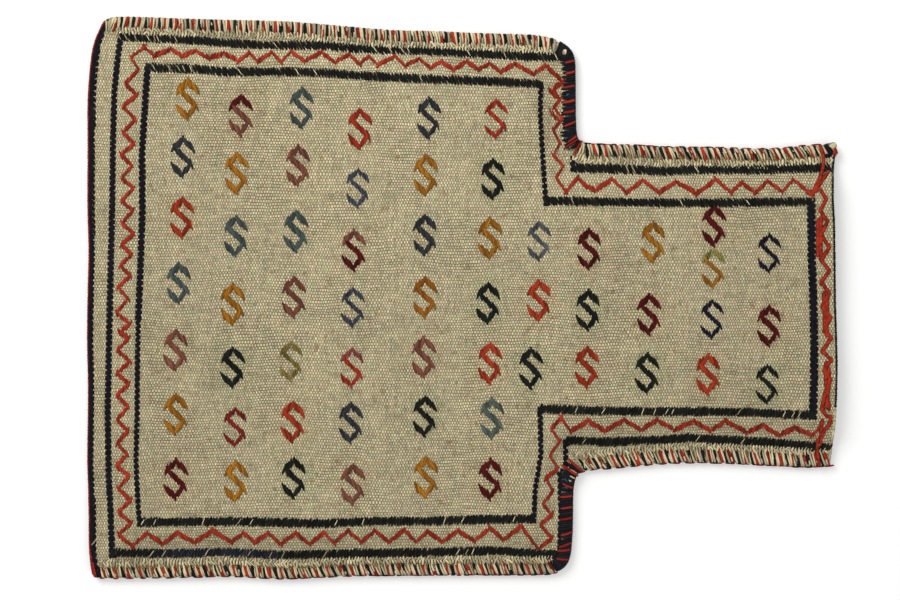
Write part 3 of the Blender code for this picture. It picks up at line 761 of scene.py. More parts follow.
def dye_yarns(**colours):
    """Materials for dyed wool yarns; colours are as they are seen, 0 to 255."""
    for name, colour in colours.items():
        material, tree, _, yarn = wool_material(f"{name}_yarn", wool, *YARN_BUMP)
        yarn.inputs["Colour"].default_value = seen_colour(*colour)
        yarn.inputs["Fibre Size"].default_value = FIBRE_SIZE
        for value in ("Tone", "Side"):
            stored = new_node(tree, "ShaderNodeAttribute", attribute_name=value.lower())
            tree.links.new(stored.outputs["Fac"], yarn.inputs[value])
        yarns[name] = material


dye_yarns(ochre=(157, 101, 25), brown_ochre=(148, 88, 21), navy=(50, 51, 54),
          dark_navy=(29, 27, 44), slate=(49, 51, 54), light_slate=(82, 88, 92),
          red=(158, 52, 27), bright_red=(158, 48, 29), crimson=(120, 36, 30),
          teal=(68, 79, 76), grey_teal=(80, 92, 84), blue=(63, 68, 80), mauve=(122, 73, 58),
          magenta=(140, 66, 66), maroon=(79, 20, 18), plum=(110, 63, 50), olive=(122, 106, 50),
          lime=(136, 132, 68), black=(28, 30, 27))


def blank_piece(name, points):
    """A blank for a stitch: a closed tube of rings of points, with one point at each end."""
    last = len(points) - 1
    faces = []
    for side in range(STITCH_SIDES):
        turn = (side + 1) % STITCH_SIDES
        faces.append((0, 1 + turn, 1 + side))
        faces.append((last, last - STITCH_SIDES + side, last - STITCH_SIDES + turn))
        for near in range(1, last - STITCH_SIDES, STITCH_SIDES):
            far = near + STITCH_SIDES
            faces.append((near + side, near + turn, far + turn, far + side))
    mesh = bpy.data.meshes.new(name)
    mesh.from_pydata(points, [], faces)
    mesh.shade_smooth()
    # For the painted shade: 1 at the stitch's sides, less towards its top.
    sides = [abs(math.cos(2 * math.pi * (number - 1) / STITCH_SIDES))
             for number in range(len(points))]
    mesh.attributes.new("side", "FLOAT", "POINT").data.foreach_set("value", sides)
    return new_piece(name, mesh)


def stitch_blank():
    """One plump stitch, a unit long, wide and high."""
    points = [(-0.5, 0, 0)]
    for along, radius in STITCH_RINGS:
        for side in range(STITCH_SIDES):
            angle = 2 * math.pi * side / STITCH_SIDES
            points.append((along, radius * math.cos(angle), radius * math.sin(angle)))
    return blank_piece("stitch_blank", points + [(0.5, 0, 0)])


def stitch_tree(name, objects, numbers, counts=(), choices=()):
    """A geometry tree: its inputs, its paths as a curve, and as a curve with even points."""
    tree = bpy.data.node_groups.new(name, "GeometryNodeTree")
    tree.interface.new_socket(name="Geometry", in_out="OUTPUT", socket_type="NodeSocketGeometry")
    kinds = {"Geometry": ("Paths",), "Object": objects, "Bool": choices,
             "Float": ("Pitch", "Width", "Lean", "Wander", "Uneven") + numbers,
             "Int": ("Seed",) + counts, "Material": ("Yarn",)}
    for kind, sockets in kinds.items():
        for socket in sockets:
            tree.interface.new_socket(name=socket, in_out="INPUT",
                                      socket_type=f"NodeSocket{kind}")
    entry = tree.nodes.new("NodeGroupInput").outputs
    curve = new_node(tree, "GeometryNodeMeshToCurve", {"Mesh": entry["Paths"]}).outputs[0]
    spaced = new_node(tree, "GeometryNodeResampleCurve",
                      {"Curve": curve, "Length": entry["Pitch"]}, mode="LENGTH").outputs[0]
    return tree, entry, curve, spaced


def random_between(tree, entry, low, high, draw):
    """A random value for each point."""
    seed = calculate(tree, "ADD", entry["Seed"], DRAWS[draw])
    return new_node(tree, "FunctionNodeRandomValue", {2: low, 3: high, "Seed": seed},
                    data_type="FLOAT").outputs[1]


def random_swing(tree, entry, name, draw):
    """A random value for each point, as far to either side of nothing as an input says."""
    return random_between(tree, entry, calculate(tree, "MULTIPLY", entry[name], -1.0),
                          entry[name], draw)


def choose(tree, kind, test, no, yes):
    """One of two values."""
    return new_node(tree, "GeometryNodeSwitch", {"Switch": test, "False": no, "True": yes},
                    input_type=kind).outputs[0]


def finish_tree(tree, entry, points, blank, direction, lean, normal, length, height, kept):
    """Put a turned and sized blank on each point, give it its tone, and make one mesh."""
    shape = new_node(tree, "GeometryNodeObjectInfo", {"Object": blank},
                     transform_space="ORIGINAL").outputs["Geometry"]
    turned = new_node(tree, "ShaderNodeVectorRotate",
                      {"Vector": direction, "Axis": (0, 0, 1), "Angle": lean},
                      rotation_type="AXIS_ANGLE").outputs[0]
    rotation = new_node(tree, "FunctionNodeAxesToRotation",
                        {"Primary Axis": normal, "Secondary Axis": turned},
                        primary_axis="Z", secondary_axis="X").outputs[0]
    low = calculate(tree, "SUBTRACT", 1.0, entry["Uneven"])
    high = calculate(tree, "ADD", 1.0, entry["Uneven"])
    sizes = [calculate(tree, "MULTIPLY", value, random_between(tree, entry, low, high, draw))
             for value, draw in ((length, "length"), (entry["Width"], "width"))]
    scale = new_node(tree, "ShaderNodeCombineXYZ", {0: sizes[0], 1: sizes[1], 2: height})
    placed = new_node(tree, "GeometryNodeInstanceOnPoints", {
        "Points": points, "Instance": shape, "Rotation": rotation, "Scale": scale.outputs[0],
        "Selection": kept})
    toned = new_node(tree, "GeometryNodeStoreNamedAttribute",
                     {"Geometry": placed.outputs[0], "Name": "tone",
                      "Value": random_between(tree, entry, 0.0, 1.0, "tone")},
                     data_type="FLOAT", domain="INSTANCE")
    real = new_node(tree, "GeometryNodeRealizeInstances", {"Geometry": toned.outputs[0]})
    coated = new_node(tree, "GeometryNodeSetMaterial", {"Geometry": real.outputs[0],
                                                        "Material": entry["Yarn"]})
    new_node(tree, "NodeGroupOutput", {0: coated.outputs[0]})
    return tree


def laid_stitch_tree():
    """Geometry nodes: stitches laid on the cloth along paths."""
    tree, entry, curve, spaced = stitch_tree(
        "laid_stitches", ("Cloth", "Stitch"),
        ("Length", "Height", "Lift", "Tilt", "Keep", "Side", "Free"), choices=("As Given",))
    places = choose(tree, "GEOMETRY", entry["As Given"], spaced, curve)
    cloth_shape = new_node(tree, "GeometryNodeObjectInfo", {"Object": entry["Cloth"]},
                           transform_space="RELATIVE")
    position = new_node(tree, "GeometryNodeInputPosition").outputs[0]
    up = new_node(tree, "ShaderNodeCombineXYZ", {2: entry["Side"]}).outputs[0]
    ray = new_node(tree, "GeometryNodeRaycast", {
        "Target Geometry": cloth_shape.outputs["Geometry"],
        "Source Position": vector_math(tree, "ADD", position, up),
        "Ray Direction": vector_math(tree, "SCALE", up, -1.0), "Ray Length": 2.0}).outputs
    lying = vector_math(tree, "ADD", ray["Hit Position"],
                        vector_math(tree, "SCALE", ray["Hit Normal"], entry["Lift"]))
    laid = new_node(tree, "GeometryNodeSetPosition", {
        "Geometry": places,
        "Position": choose(tree, "VECTOR", ray["Is Hit"], position, lying)}).outputs[0]
    normal = choose(tree, "VECTOR", ray["Is Hit"], up, ray["Hit Normal"])
    tangent = new_node(tree, "GeometryNodeInputTangent").outputs[0]
    parts = new_node(tree, "ShaderNodeSeparateXYZ", {0: tangent}).outputs
    tilted = []
    for axis, wave in (("X", "COSINE"), ("Y", "SINE")):
        sign = calculate(tree, "MULTIPLY_ADD",
                         calculate(tree, "GREATER_THAN", parts[axis], 0.0), 2.0, -1.0)
        tilted.append(calculate(tree, "MULTIPLY", sign, calculate(tree, wave, entry["Tilt"])))
    tilted = new_node(tree, "ShaderNodeCombineXYZ", {0: tilted[0], 1: tilted[1]}).outputs[0]
    direction = choose(tree, "VECTOR", calculate(tree, "GREATER_THAN", entry["Tilt"], 0.0),
                       tangent, tilted)
    lean = calculate(tree, "ADD", entry["Lean"], random_swing(tree, entry, "Wander", "wander"))
    kept = calculate(tree, "LESS_THAN", random_between(tree, entry, 0.0, 1.0, "keep"),
                     entry["Keep"])
    held = calculate(tree, "MAXIMUM", ray["Is Hit"], entry["Free"])
    return finish_tree(tree, entry, laid, entry["Stitch"], direction, lean, normal,
                       entry["Length"], entry["Height"], calculate(tree, "MULTIPLY", kept, held))


def run_tree(tree, name, paths, values):
    """Run a geometry tree on paths and return the finished piece."""
    mesh = bpy.data.meshes.new(f"{name}_paths")
    vertices = []
    edges = []
    for path in paths:
        first = len(vertices)
        vertices += [(*point, 0.0) if len(point) == 2 else tuple(point) for point in path]
        edges += [(first + index, first + index + 1) for index in range(len(path) - 1)]
    mesh.from_pydata(vertices, edges, [])
    obj = new_piece(f"{name}_paths", mesh)
    modifier = obj.modifiers.new("stitches", "NODES")
    modifier.node_group = tree
    sockets = {item.name: item.identifier for item in tree.interface.items_tree
               if item.in_out == "INPUT"}
    for key, value in values.items():
        modifier[sockets[key]] = value
    mesh = finished_mesh(obj)
    piece = new_piece(name, mesh, values["Yarn"])
    mesh.polygons.foreach_set("material_index", [0] * len(mesh.polygons))
    return piece


laid_stitches = laid_stitch_tree()
blank = stitch_blank()
seeds = iter(range(1, 10000, 13))


def lay_stitches(name, paths, yarn, pitch, length, width, height, lean=0.0, tilt=0.0,
                 wander=0.12, uneven=0.12, lift=None, on_cloth=True, keep=1.1, side=1.0):
    """Stitches of one yarn laid on the cloth along paths; without a pitch, one on each point."""
    values = {"Stitch": blank, "Pitch": pitch or 1.0, "Length": length, "Width": width,
              "As Given": pitch is None, "Free": 0.0 if on_cloth else 1.0,
              "Height": height, "Lift": height * LIFT_SHARE if lift is None else lift,
              "Lean": lean,
              "Tilt": tilt, "Wander": wander, "Uneven": uneven, "Keep": keep,
              "Side": side, "Seed": next(seeds), "Yarn": yarns[yarn]}
    if on_cloth:
        values["Cloth"] = cloth
    return run_tree(laid_stitches, name, paths, values)


def bag_piece(piece, slot, *nodes):
    """Fasten a piece to the bag: it rides the root and stands for CAD nodes, which are hidden; the
    slot is not used.
    """
    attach(piece, "root")
    if nodes:
        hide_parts(*nodes)


def stepped(path, step):
    """Points along a path at even steps across the photograph, as floats follow the warps."""
    total = sum(abs(end.x - start.x) for start, end in zip(path, path[1:]))
    step = total / max(round(total / step), 1)
    result = [path[0].copy()]
    left = step
    for start, end in zip(path, path[1:]):
        width = abs(end.x - start.x)
        along = left
        while along <= width + HAIR:
            result.append(start.lerp(end, min(along / width, 1)))
            along += step
        left = along - width
    return result


hook_paths = {}
for hook in HOOKS:
    across, down, yarn, thickness = hook[:4]
    middle = front_place(across, down)
    line = [middle + point for point in hook_run]
    second = hook[4] if len(hook) > 4 else yarn
    hook_paths.setdefault((yarn, thickness), []).append(line[:3])
    start = line[2] + (line[3] - line[2]).normalized() * SECOND_START * PIXEL
    hook_paths.setdefault((second, thickness), []).append([start] + line[3:])
for (yarn, thickness), paths in sorted(hook_paths.items()):
    length, width = FLOATS[thickness]
    piece = lay_stitches(f"hooks_{yarn}_{thickness}",
                         [stepped(path, FLOAT_STEP) for path in paths], yarn, None, length,
                         width, FLOAT_HEIGHT, tilt=FLOAT_TILT)
    bag_piece(piece, "cloth")

# Dark lines. Across the weave they are slanting wraps of black-green wool with slivers of ivory
# between; along the picks they are three to five woven rows of navy weft, scalloped at the sides.
FEW = 0.05
MANY = 0.3
WRAPPED_LINES = {
    "outer_line": (
        # lean of the wraps in degrees, yarn, share of slivers, pixels
        (-62, "black", MANY, ((119.5, 36.6), (158, 39))),
        (-62, "black", FEW, ((158, 39), (192, 40.4), (230, 43.7), (265, 45.6), (329, 46),
                             (360, 49.3), (427, 50.8), (499, 55), (530, 56.9), (565, 57))),
        (62, "black", FEW, ((112, 552.4), (152, 552.6))),
        (62, "slate_navy", FEW, ((152, 553), (190, 552.7), (224, 551.5), (280, 554.6))),
        (62, "black", FEW, ((280, 554.6), (340, 553.5), (427, 552), (499, 550.2),
                            (530, 552.8), (560, 555))),
    ),
    "neck_line_left": (
        (-62, "black", FEW, ((573, 168), (619, 169.2), (663, 171.3), (700, 169.5), (738, 170),
                             (829, 167.6))),
    ),
    "neck_line_right": (
        (62, "black", FEW, ((566, 440), (610, 441.8), (640, 440), (659, 440), (690, 437.4),
                            (720, 439.6), (757, 441.2), (790, 444.4), (829, 448))),
    ),
    "inner_line": (
        (-62, "black", FEW, ((148, 67), (160, 68.3), (188, 68.6))),
        (-62, "black", MANY, ((184, 68.6), (198, 69.2))),
        (-62, "black", FEW, ((198, 69.2), (224, 72), (300, 72), (329, 73.3), (360, 75.9),
                             (395, 77.6), (427, 79.1), (499, 81.8), (541, 84.5))),
        (-62, "black", FEW, ((545, 201), (560, 200.9), (650, 202.7), (710, 203),
                             (811, 201.6))),
        (62, "black", FEW, ((814, 415), (790, 414.4), (757, 412.4), (718, 411.5), (650, 411.4),
                            (590, 410.5), (540, 408.6))),
        (62, "black", FEW, ((532, 518.5), (481, 519.3), (427, 520.9), (374, 521),
                            (320, 523.4), (239, 521.2), (160, 521.9), (140, 522))),
    ),
}
WOVEN_LINES = {
    "outer_line": (
        # rows of weft, pixels
        (4, ((121, 38), (117.9, 60), (114.8, 90), (113.3, 140), (112.6, 200), (110.7, 280),
             (109, 360), (107.9, 412), (109, 476), (111.2, 520), (112.5, 556))),
        (3, ((559.7, 471), (560.8, 510), (559.6, 554))),
    ),
    "neck_line_left": (
        (3, ((572.6, 155), (572.6, 170))),
    ),
    "neck_line_right": (
        (3, ((565.5, 438), (565.5, 464))),
    ),
    "inner_line": (
        (4, ((148, 66), (145.5, 100), (142.2, 154), (142.6, 208), (141.3, 248), (140.2, 280),
             (138.5, 318))),
        (3, ((138.5, 314), (137.5, 375), (137.4, 412), (136, 460), (138.4, 508), (140, 524))),
        (3, ((540.6, 84), (540.2, 117), (543.5, 171), (546, 204))),
        (3, ((540, 406), (540.8, 454), (538.4, 469), (535, 490), (533.8, 521))),
        (5, ((811, 200), (811.4, 258), (813, 298), (814, 339), (813.8, 379), (812.5, 418))),
    ),
}
WRAP_LENGTHS = {"outer_line": 0.0083, "neck_line_left": 0.0090, "neck_line_right": 0.0084,
                "inner_line": 0.0074}
LINE_ROW = 0.0011
WRAP_WIDTH = 0.0020
WRAP_HEIGHT = 0.0010
WRAP_PITCH = 0.0021
SLIVER_WIDTH = 0.0009
LINE_LIFT = 0.00045
SLIVER_LIFT = 0.0001
HUMP_LENGTH = 0.0027
EDGE_HUMP_LENGTH = 0.0035
HUMP_WIDTH = 0.0017
HUMP_HEIGHT = 0.0009
WRAP_UNEVEN = 0.14
SLIVER_LENGTH = 0.72          # share of the wraps' length
SLIVER_HEIGHT = 0.0012
PICK_WANDER = 0.05
dye_yarns(slate_navy=(40, 43, 52), woven_navy=(25, 24, 31), line_ivory=(205, 192, 152))


def woven_rows(path, rows):
    """Side by side paths of woven picks, each second one a warp further on."""
    dense = evenly(path, WARP_PITCH / 2)
    result = []
    for row in range(rows):
        offset = (row - (rows - 1) / 2) * LINE_ROW
        later = row % 2 == 1 or row == rows - 1
        result.append(shifted(dense, offset)[2 if later else 0:])
    return result


def lay_picks(paths, length, side=1.0, warps=1):
    """Navy picks that pass over a warp, or over each second one, along paths."""
    return lay_stitches("picks", paths, "woven_navy", warps * WARP_PITCH, length, HUMP_WIDTH,
                        HUMP_HEIGHT, wander=PICK_WANDER, side=side)


def joined(name, pieces):
    """Several meshes as one piece."""
    shape = bmesh.new()
    mesh = bpy.data.meshes.new(name)
    materials = []
    for piece in pieces:
        first = len(shape.faces)
        shape.from_mesh(piece.data)
        shape.faces.ensure_lookup_table()
        for face in shape.faces[first:]:
            face.material_index = len(materials)
        materials.append(piece.data.materials[0])
        bpy.data.objects.remove(piece, do_unlink=True)
    shape.to_mesh(mesh)
    shape.free()
    obj = new_piece(name, mesh)
    for material in materials:
        mesh.materials.append(material)
    return obj


for name, wrapped in WRAPPED_LINES.items():
    pieces = []
    for lean, yarn, share, pixels in wrapped:
        run = front_path(pixels)
        angle = math.radians(lean)
        length = WRAP_LENGTHS[name]
        pieces.append(lay_stitches("wraps", [run], yarn, WRAP_PITCH, length, WRAP_WIDTH,
                                   WRAP_HEIGHT, lean=angle, uneven=WRAP_UNEVEN,
                                   lift=LINE_LIFT))
        pieces.append(lay_stitches("slivers", [run], "line_ivory", WRAP_PITCH,
                                   length * SLIVER_LENGTH, SLIVER_WIDTH, SLIVER_HEIGHT,
                                   lean=angle, lift=LINE_LIFT + SLIVER_LIFT, keep=share))
    for rows, pixels in WOVEN_LINES[name]:
        rows_of_picks = woven_rows(front_path(pixels), rows)
        pieces.append(lay_picks(rows_of_picks[1:-1], HUMP_LENGTH))
        pieces.append(lay_picks(rows_of_picks[:1] + rows_of_picks[-1:], EDGE_HUMP_LENGTH,
                                warps=2))
    bag_piece(joined(name.replace("line", "dark_line"), pieces), "black_yarn", name)

# Red zigzags. One zigzag runs round the border between the dark lines, and a thick wavy strand
# crosses the mouth; both are madder red floats that lean more steeply than the stroke itself.
ZIGZAGS = {
    "left": (
        (144.6, 47.5), (131, 57.8), (139, 69.8), (125.4, 84), (137.4, 95.3), (123, 106.5),
        (135.8, 120), (123, 132.8), (135, 144), (120.7, 155), (132.6, 165.5), (122, 178),
        (133.9, 188.2), (121.7, 201.4), (133.4, 210.6), (122.2, 223.4), (134.4, 234.1),
        (121.2, 244.8), (132.4, 254.5), (120.2, 265.7), (130.9, 275.9), (118.1, 287.1),
        (128.8, 298.9), (116.6, 312.7), (130.4, 323.9), (119.5, 332.5), (129.3, 338.2),
        (117.6, 349.9), (130.4, 361.6), (117.1, 372.9), (129.3, 384.1), (116.6, 395.3),
        (128.8, 406.5), (117.1, 419.8), (128.3, 431), (117.1, 443.3), (127.8, 454.5),
        (116.6, 465.7), (129.9, 475.9), (118, 488), (131, 500), (118.6, 512), (132, 523),
        (118.5, 534), (132.8, 545.5),
    ),
    "bottom": (
        (132.8, 545.5), (146.7, 531), (163.5, 545.5), (177.3, 530.7), (194.6, 544),
        (213.2, 528.3), (231, 543.6), (244, 531), (255, 544), (269, 531), (280.5, 546),
        (295.6, 530.7), (309.5, 545.9), (324.2, 530.3), (333.6, 545), (347.9, 528.5),
        (361.7, 543.7), (375.1, 528.5), (388.9, 543.7), (404.1, 527.6), (416.2, 543.8),
        (427.2, 529.1), (442.5, 543.4), (457.8, 528.6), (474.1, 542.5), (490.4, 525.7),
        (503.3, 541.5), (521, 526.2),
    ),
    "lower_shoulder": (
        (523.9, 529.6), (537.8, 550.6), (552, 538.2), (540, 524.5), (552, 514.5),
        (542.4, 504), (552.7, 491), (545.5, 478), (558, 469), (549.7, 455), (560, 441),
        (551, 429), (561, 418),
    ),
    "neck_right": (
        (561, 418), (570.5, 433.4), (587.7, 418.8), (604.9, 432.6), (623.9, 417.9),
        (641.1, 431.7), (656.6, 417.9), (674.7, 431.7), (693.6, 418.8), (710, 432.6),
        (725.5, 418.8), (747, 434.3), (762.5, 423.1), (778, 436.9), (795.2, 425.7),
        (813.3, 437.7), (821, 424),
    ),
    "top": (
        (144.6, 47.5), (154, 58), (172, 47.5), (182, 58.6), (196, 49), (207, 60), (225, 52),
        (239, 63), (250, 51), (257.7, 63.9), (272, 50.5), (281.1, 64.4), (291.1, 49.6),
        (304.1, 63.4), (321.3, 50.5), (334.7, 64.4), (349.5, 52.4), (359.1, 66.3),
        (369.1, 54.4), (377.8, 67.3), (395.5, 54.4), (404.6, 68), (419.4, 57),
        (430.4, 70.4), (440.9, 59.8), (453.9, 71.8), (466.3, 59.8), (478.7, 71.8),
        (489.7, 61.7), (500.3, 74.2), (515.1, 62.2), (532.8, 76.1), (546, 64), (560, 79),
    ),
    "upper_shoulder": (
        (565, 81.5), (553.5, 88), (556.5, 98), (560.5, 97), (553.7, 107), (562.5, 119),
        (553, 130), (560, 143), (553, 155.5), (563.6, 166), (556, 178), (565.8, 191.5),
    ),
    "doubled_strokes": ((549.6, 90.6), (554.4, 95.4)),
    "second_doubled_stroke": ((550.6, 112.4), (557.4, 118.6)),
    "neck_left": (
        (565.8, 191.5), (577.4, 175.8), (585.7, 186), (594.8, 192.4), (612.2, 177.4),
        (626.3, 194.9), (642.9, 178.3), (658.7, 194.9), (676.1, 179.9), (696.8, 195.7),
        (715.9, 177.4), (730.8, 194.9), (740.8, 180.8), (755.7, 194.9), (767.3, 179.1),
        (782.2, 194), (793, 177.4), (811.2, 194.9),
    ),
}
MOUTH_WAVE = (
    (822, 168), (820, 178), (812, 193), (819, 189), (826, 199), (820, 210), (827, 222),
    (821, 235), (829, 247), (821, 260), (829, 271), (821, 282), (829, 293), (822, 306),
    (830, 318), (824, 330), (831, 338), (822, 351), (831, 360), (824, 370), (830.4, 380),
    (825, 392), (821.6, 408), (825, 415), (830.6, 417.4), (829, 424.6), (824, 430.4),
    (819.8, 441),
)
MOUTH_STRANDS = (
    ((827, 173), (815, 191)), ((824, 177), (812.6, 193)), ((817.8, 221), (817.6, 254)),
    ((820.8, 219), (820.4, 257)), ((823.6, 294), (824.6, 330)), ((827, 300), (826.6, 334)),
    ((825.4, 364), (825.8, 385), (828.8, 408)), ((828.4, 370), (829.2, 380), (826.2, 406)),
    ((821.4, 422), (820.6, 432), (820.2, 443)),
)
SEAM_STRANDS = (
    ((820, 147), (823, 158), (822.5, 168), (820, 178)),
    ((817, 440), (816.6, 450), (818.5, 464)),
)
SEAM_STRAND_LIFT = 0.0013
SEAM_STRAND_WANDER = 0.05
ZIGZAG_STEP = 0.00195
ZIGZAG_LENGTH = 0.0062
ZIGZAG_WIDTH = 0.00182
ZIGZAG_HEIGHT = 0.0012
ZIGZAG_TILT = math.radians(66)
ZIGZAG_UNEVEN = 0.18
STRAND_PITCH = 0.0013
STRAND_LENGTH = 0.0050
STRAND_WIDTH = 0.0025
STRAND_HEIGHT = 0.0014
STRAND_LEAN = -14
TIP_DEPTH = 2.3               # pixels


def drawn_in(pixels):
    """A zigzag whose turning points lie half a float inside the tips that show."""
    result = [pixels[0]]
    for before, point, after in zip(pixels, pixels[1:], pixels[2:]):
        down = 0.0
        if point[1] < min(before[1], after[1]):
            down = TIP_DEPTH
        if point[1] > max(before[1], after[1]):
            down = -TIP_DEPTH
        result.append((point[0], point[1] + down))
    return result + [pixels[-1]]


dye_yarns(madder=(160, 50, 31))
zigzag_runs = [stepped(front_path(drawn_in(run)), ZIGZAG_STEP) for run in ZIGZAGS.values()]
zigzag = lay_stitches("red_zigzag", zigzag_runs, "madder", None, ZIGZAG_LENGTH, ZIGZAG_WIDTH,
                      ZIGZAG_HEIGHT, tilt=ZIGZAG_TILT, uneven=ZIGZAG_UNEVEN)
bag_piece(zigzag, "red_yarn", "border_zigzag")
strands = [front_path(run) for run in (MOUTH_WAVE,) + MOUTH_STRANDS]
wave = lay_stitches("wave", strands, "madder", STRAND_PITCH, STRAND_LENGTH, STRAND_WIDTH,
                    STRAND_HEIGHT, lean=math.radians(STRAND_LEAN))
over_seam = lay_stitches("over_seam", [front_path(run) for run in SEAM_STRANDS], "madder",
                         STRAND_PITCH, STRAND_LENGTH, STRAND_WIDTH, STRAND_HEIGHT,
                         lift=SEAM_STRAND_LIFT, wander=SEAM_STRAND_WANDER)
bag_piece(joined("red_mouth_wave", [wave, over_seam]), "red_yarn", "mouth_zigzag")

# Seams. Front and back are joined by overcast stitches that wrap round the edge in turn in red,
# ivory and navy; a row of plaited ivory stitches runs beside them on the front.
SEAM_LEG = 0.0086
SEAM_THICK = 0.00115
SEAM_PITCH = 0.00137
SEAM_SHIFT = 0.0007
SEAM_WANDER = 0.13
LOOP_TAPER = (0.12, 0.46, 0.78, 0.95, 1.0, 1.0, 0.92)
BLUNT_TAPER = (0.5, 0.85, 1.0, 1.0, 1.0, 1.0, 0.95)
LOOP_BULGE = 0.9
LOOP_STANDS = 0.7             # share of the half yarn that stands out of the cloth
LOOP_LEG = (
    # share of the leg from the edge, drop below the top in halves of the yarn
    (1.0, 1.2), (0.88, 0.2), (0.68, 0.0), (0.42, 0.0),
)
LOOP_SHOULDER = (0.9, 0.1)    # in and down, where the loop starts to turn
LOOP_CHEEK = (0.3, 0.72)      # in and up, half way round the turn
dye_yarns(seam_red=(158, 44, 32), seam_navy=(30, 29, 36), seam_ivory=(206, 193, 154))
back_skin = MARGIN_BACK - CLOTH_WALL / 2


def loop_blank(name, leg, thick, narrowing=LOOP_TAPER):
    """A stitch that wraps the edge: x runs into the bag from the outermost point."""
    half = thick / 2
    top = MARGIN_TOP + half * LOOP_STANDS
    bottom = back_skin - half * LOOP_STANDS
    middle = (top + bottom) / 2
    reach = (top - bottom) / 2
    front = [(leg * share, top - half * drop) for share, drop in LOOP_LEG]
    front += [(reach * LOOP_SHOULDER[0], top - half * LOOP_SHOULDER[1]),
              (half + reach * LOOP_CHEEK[0], middle + reach * LOOP_CHEEK[1]), (half, middle)]
    line = front + [(x, bottom + top - z) for x, z in reversed(front[:-1])]
    taper = narrowing + tuple(reversed(narrowing[:-1]))
    points = [(line[0][0] + half, 0, line[0][1])]
    for index, (x, z) in enumerate(line):
        before = Vector(line[max(index - 1, 0)])
        after = Vector(line[min(index + 1, len(line) - 1)])
        along = (after - before).normalized()
        across = Vector((-along.y, along.x))
        for side in range(STITCH_SIDES):
            angle = 2 * math.pi * side / STITCH_SIDES
            out = half * taper[index] * math.sin(angle)
            curve = LOOP_BULGE * x / leg * (1 - x / leg)
            points.append((x + across.x * out, 0.5 * taper[index] * math.cos(angle) + curve,
                           max(z + across.y * out, HAIR)))
    return blank_piece(name, points + [(line[-1][0] + half, 0, line[-1][1])])


def edge_loop_tree():
    """Geometry nodes: loops that wrap the bag's edge along a clockwise path."""
    tree, entry, _, spaced = stitch_tree("edge_loops", ("Loop",), ("Reach", "Last Lean", "Shift"),
                                         counts=("Every", "Which"))
    tangent = new_node(tree, "GeometryNodeInputTangent").outputs[0]
    share = new_node(tree, "GeometryNodeSplineParameter").outputs["Factor"]
    change = calculate(tree, "SUBTRACT", entry["Last Lean"], entry["Lean"])
    lean = calculate(tree, "ADD", calculate(tree, "MULTIPLY_ADD", share, change, entry["Lean"]),
                     random_swing(tree, entry, "Wander", "wander"))
    number = new_node(tree, "GeometryNodeInputIndex").outputs[0]
    chosen = calculate(tree, "COMPARE", calculate(tree, "MODULO", number, entry["Every"]),
                       entry["Which"], 0.5)
    offset = vector_math(tree, "SCALE", tangent, random_swing(tree, entry, "Shift", "slide"))
    slid = new_node(tree, "GeometryNodeSetPosition", {"Geometry": spaced, "Offset": offset})
    return finish_tree(tree, entry, slid.outputs[0], entry["Loop"],
                       vector_math(tree, "CROSS_PRODUCT", tangent, (0, 0, 1)), lean, (0, 0, 1),
                       entry["Reach"], 1.0, chosen)


edge_loops = edge_loop_tree()
seam_loop = loop_blank("seam_loop", SEAM_LEG, SEAM_THICK)


def wrap_edge(name, path, yarn, loop, pitch, width, lean=0.0, last_lean=None, reach=1.0,
              wander=0.07, uneven=0.16, shift=0.0, every=1, which=0):
    """Loops of one yarn round the bag's edge along a path."""
    return run_tree(edge_loops, name, [path], {
        "Loop": loop, "Pitch": pitch, "Width": width, "Reach": reach, "Lean": lean,
        "Last Lean": lean if last_lean is None else last_lean, "Shift": shift,
        "Wander": wander, "Uneven": uneven, "Every": every, "Which": which,
        "Seed": next(seeds), "Yarn": yarns[yarn]})


def outline_between(start, end):
    """The part of the bag's outline between the points nearest to two pixels."""
    return outline[outline_number(start):outline_number(end) + 1]


SEAMS = {
    # how far the coloured stitches reach, how far in the plait lies, its braid, pixels along the
    # edge with the lean in degrees there
    "side_seam_right": (1.1, 0.0106, "side_braid_right",
                        (((556, 573.5), 20), ((101, 578), 20))),
    "side_seam_left": (1.24, 0.0104, "side_braid_left",
                       (((116.5, 16), -16), ((180, 18), 4), ((556, 38), 14))),
    "neck_seam_right": (1.42, 0.0112, "neck_braid_right",
                        (((830, 466), 16), ((640, 464), 22), ((580, 472.3), 30))),
    "neck_seam_left": (1.2, 0.0112, "neck_braid_left",
                       (((579.5, 140.2), 14), ((640, 150), 24), ((830, 143.6), 26))),
}
TURNS = (
    # yarn, in every so many loops, which of them, width, reach
    ("seam_ivory", 3, 1, 0.0020, 0.97),
    ("seam_ivory", 3, 2, 0.0018, 0.88),
    ("seam_red", 6, 0, 0.0027, 1.0),
    ("seam_navy", 6, 3, 0.0030, 1.0),
)
CORNER_FILL = ((104.5, 19.6), (115.5, 16))
CORNER_FILL_WIDTH = 0.0020
CORNER_FILL_REACH = 1.2
CORNER_FILL_LEAN = -24
PLAIT_PITCH = 0.0021
PLAIT_WIDTH = 0.0017
PLAIT_HEIGHT = 0.0013
PLAIT_WANDER = 0.6
PLAIT_UNEVEN = 0.4
PLAIT_ROWS = (
    # further in than the seam's plait line, length, lean in degrees
    (-0.0008, 0.0042, 108),
    (0.0015, 0.0038, 72),
)
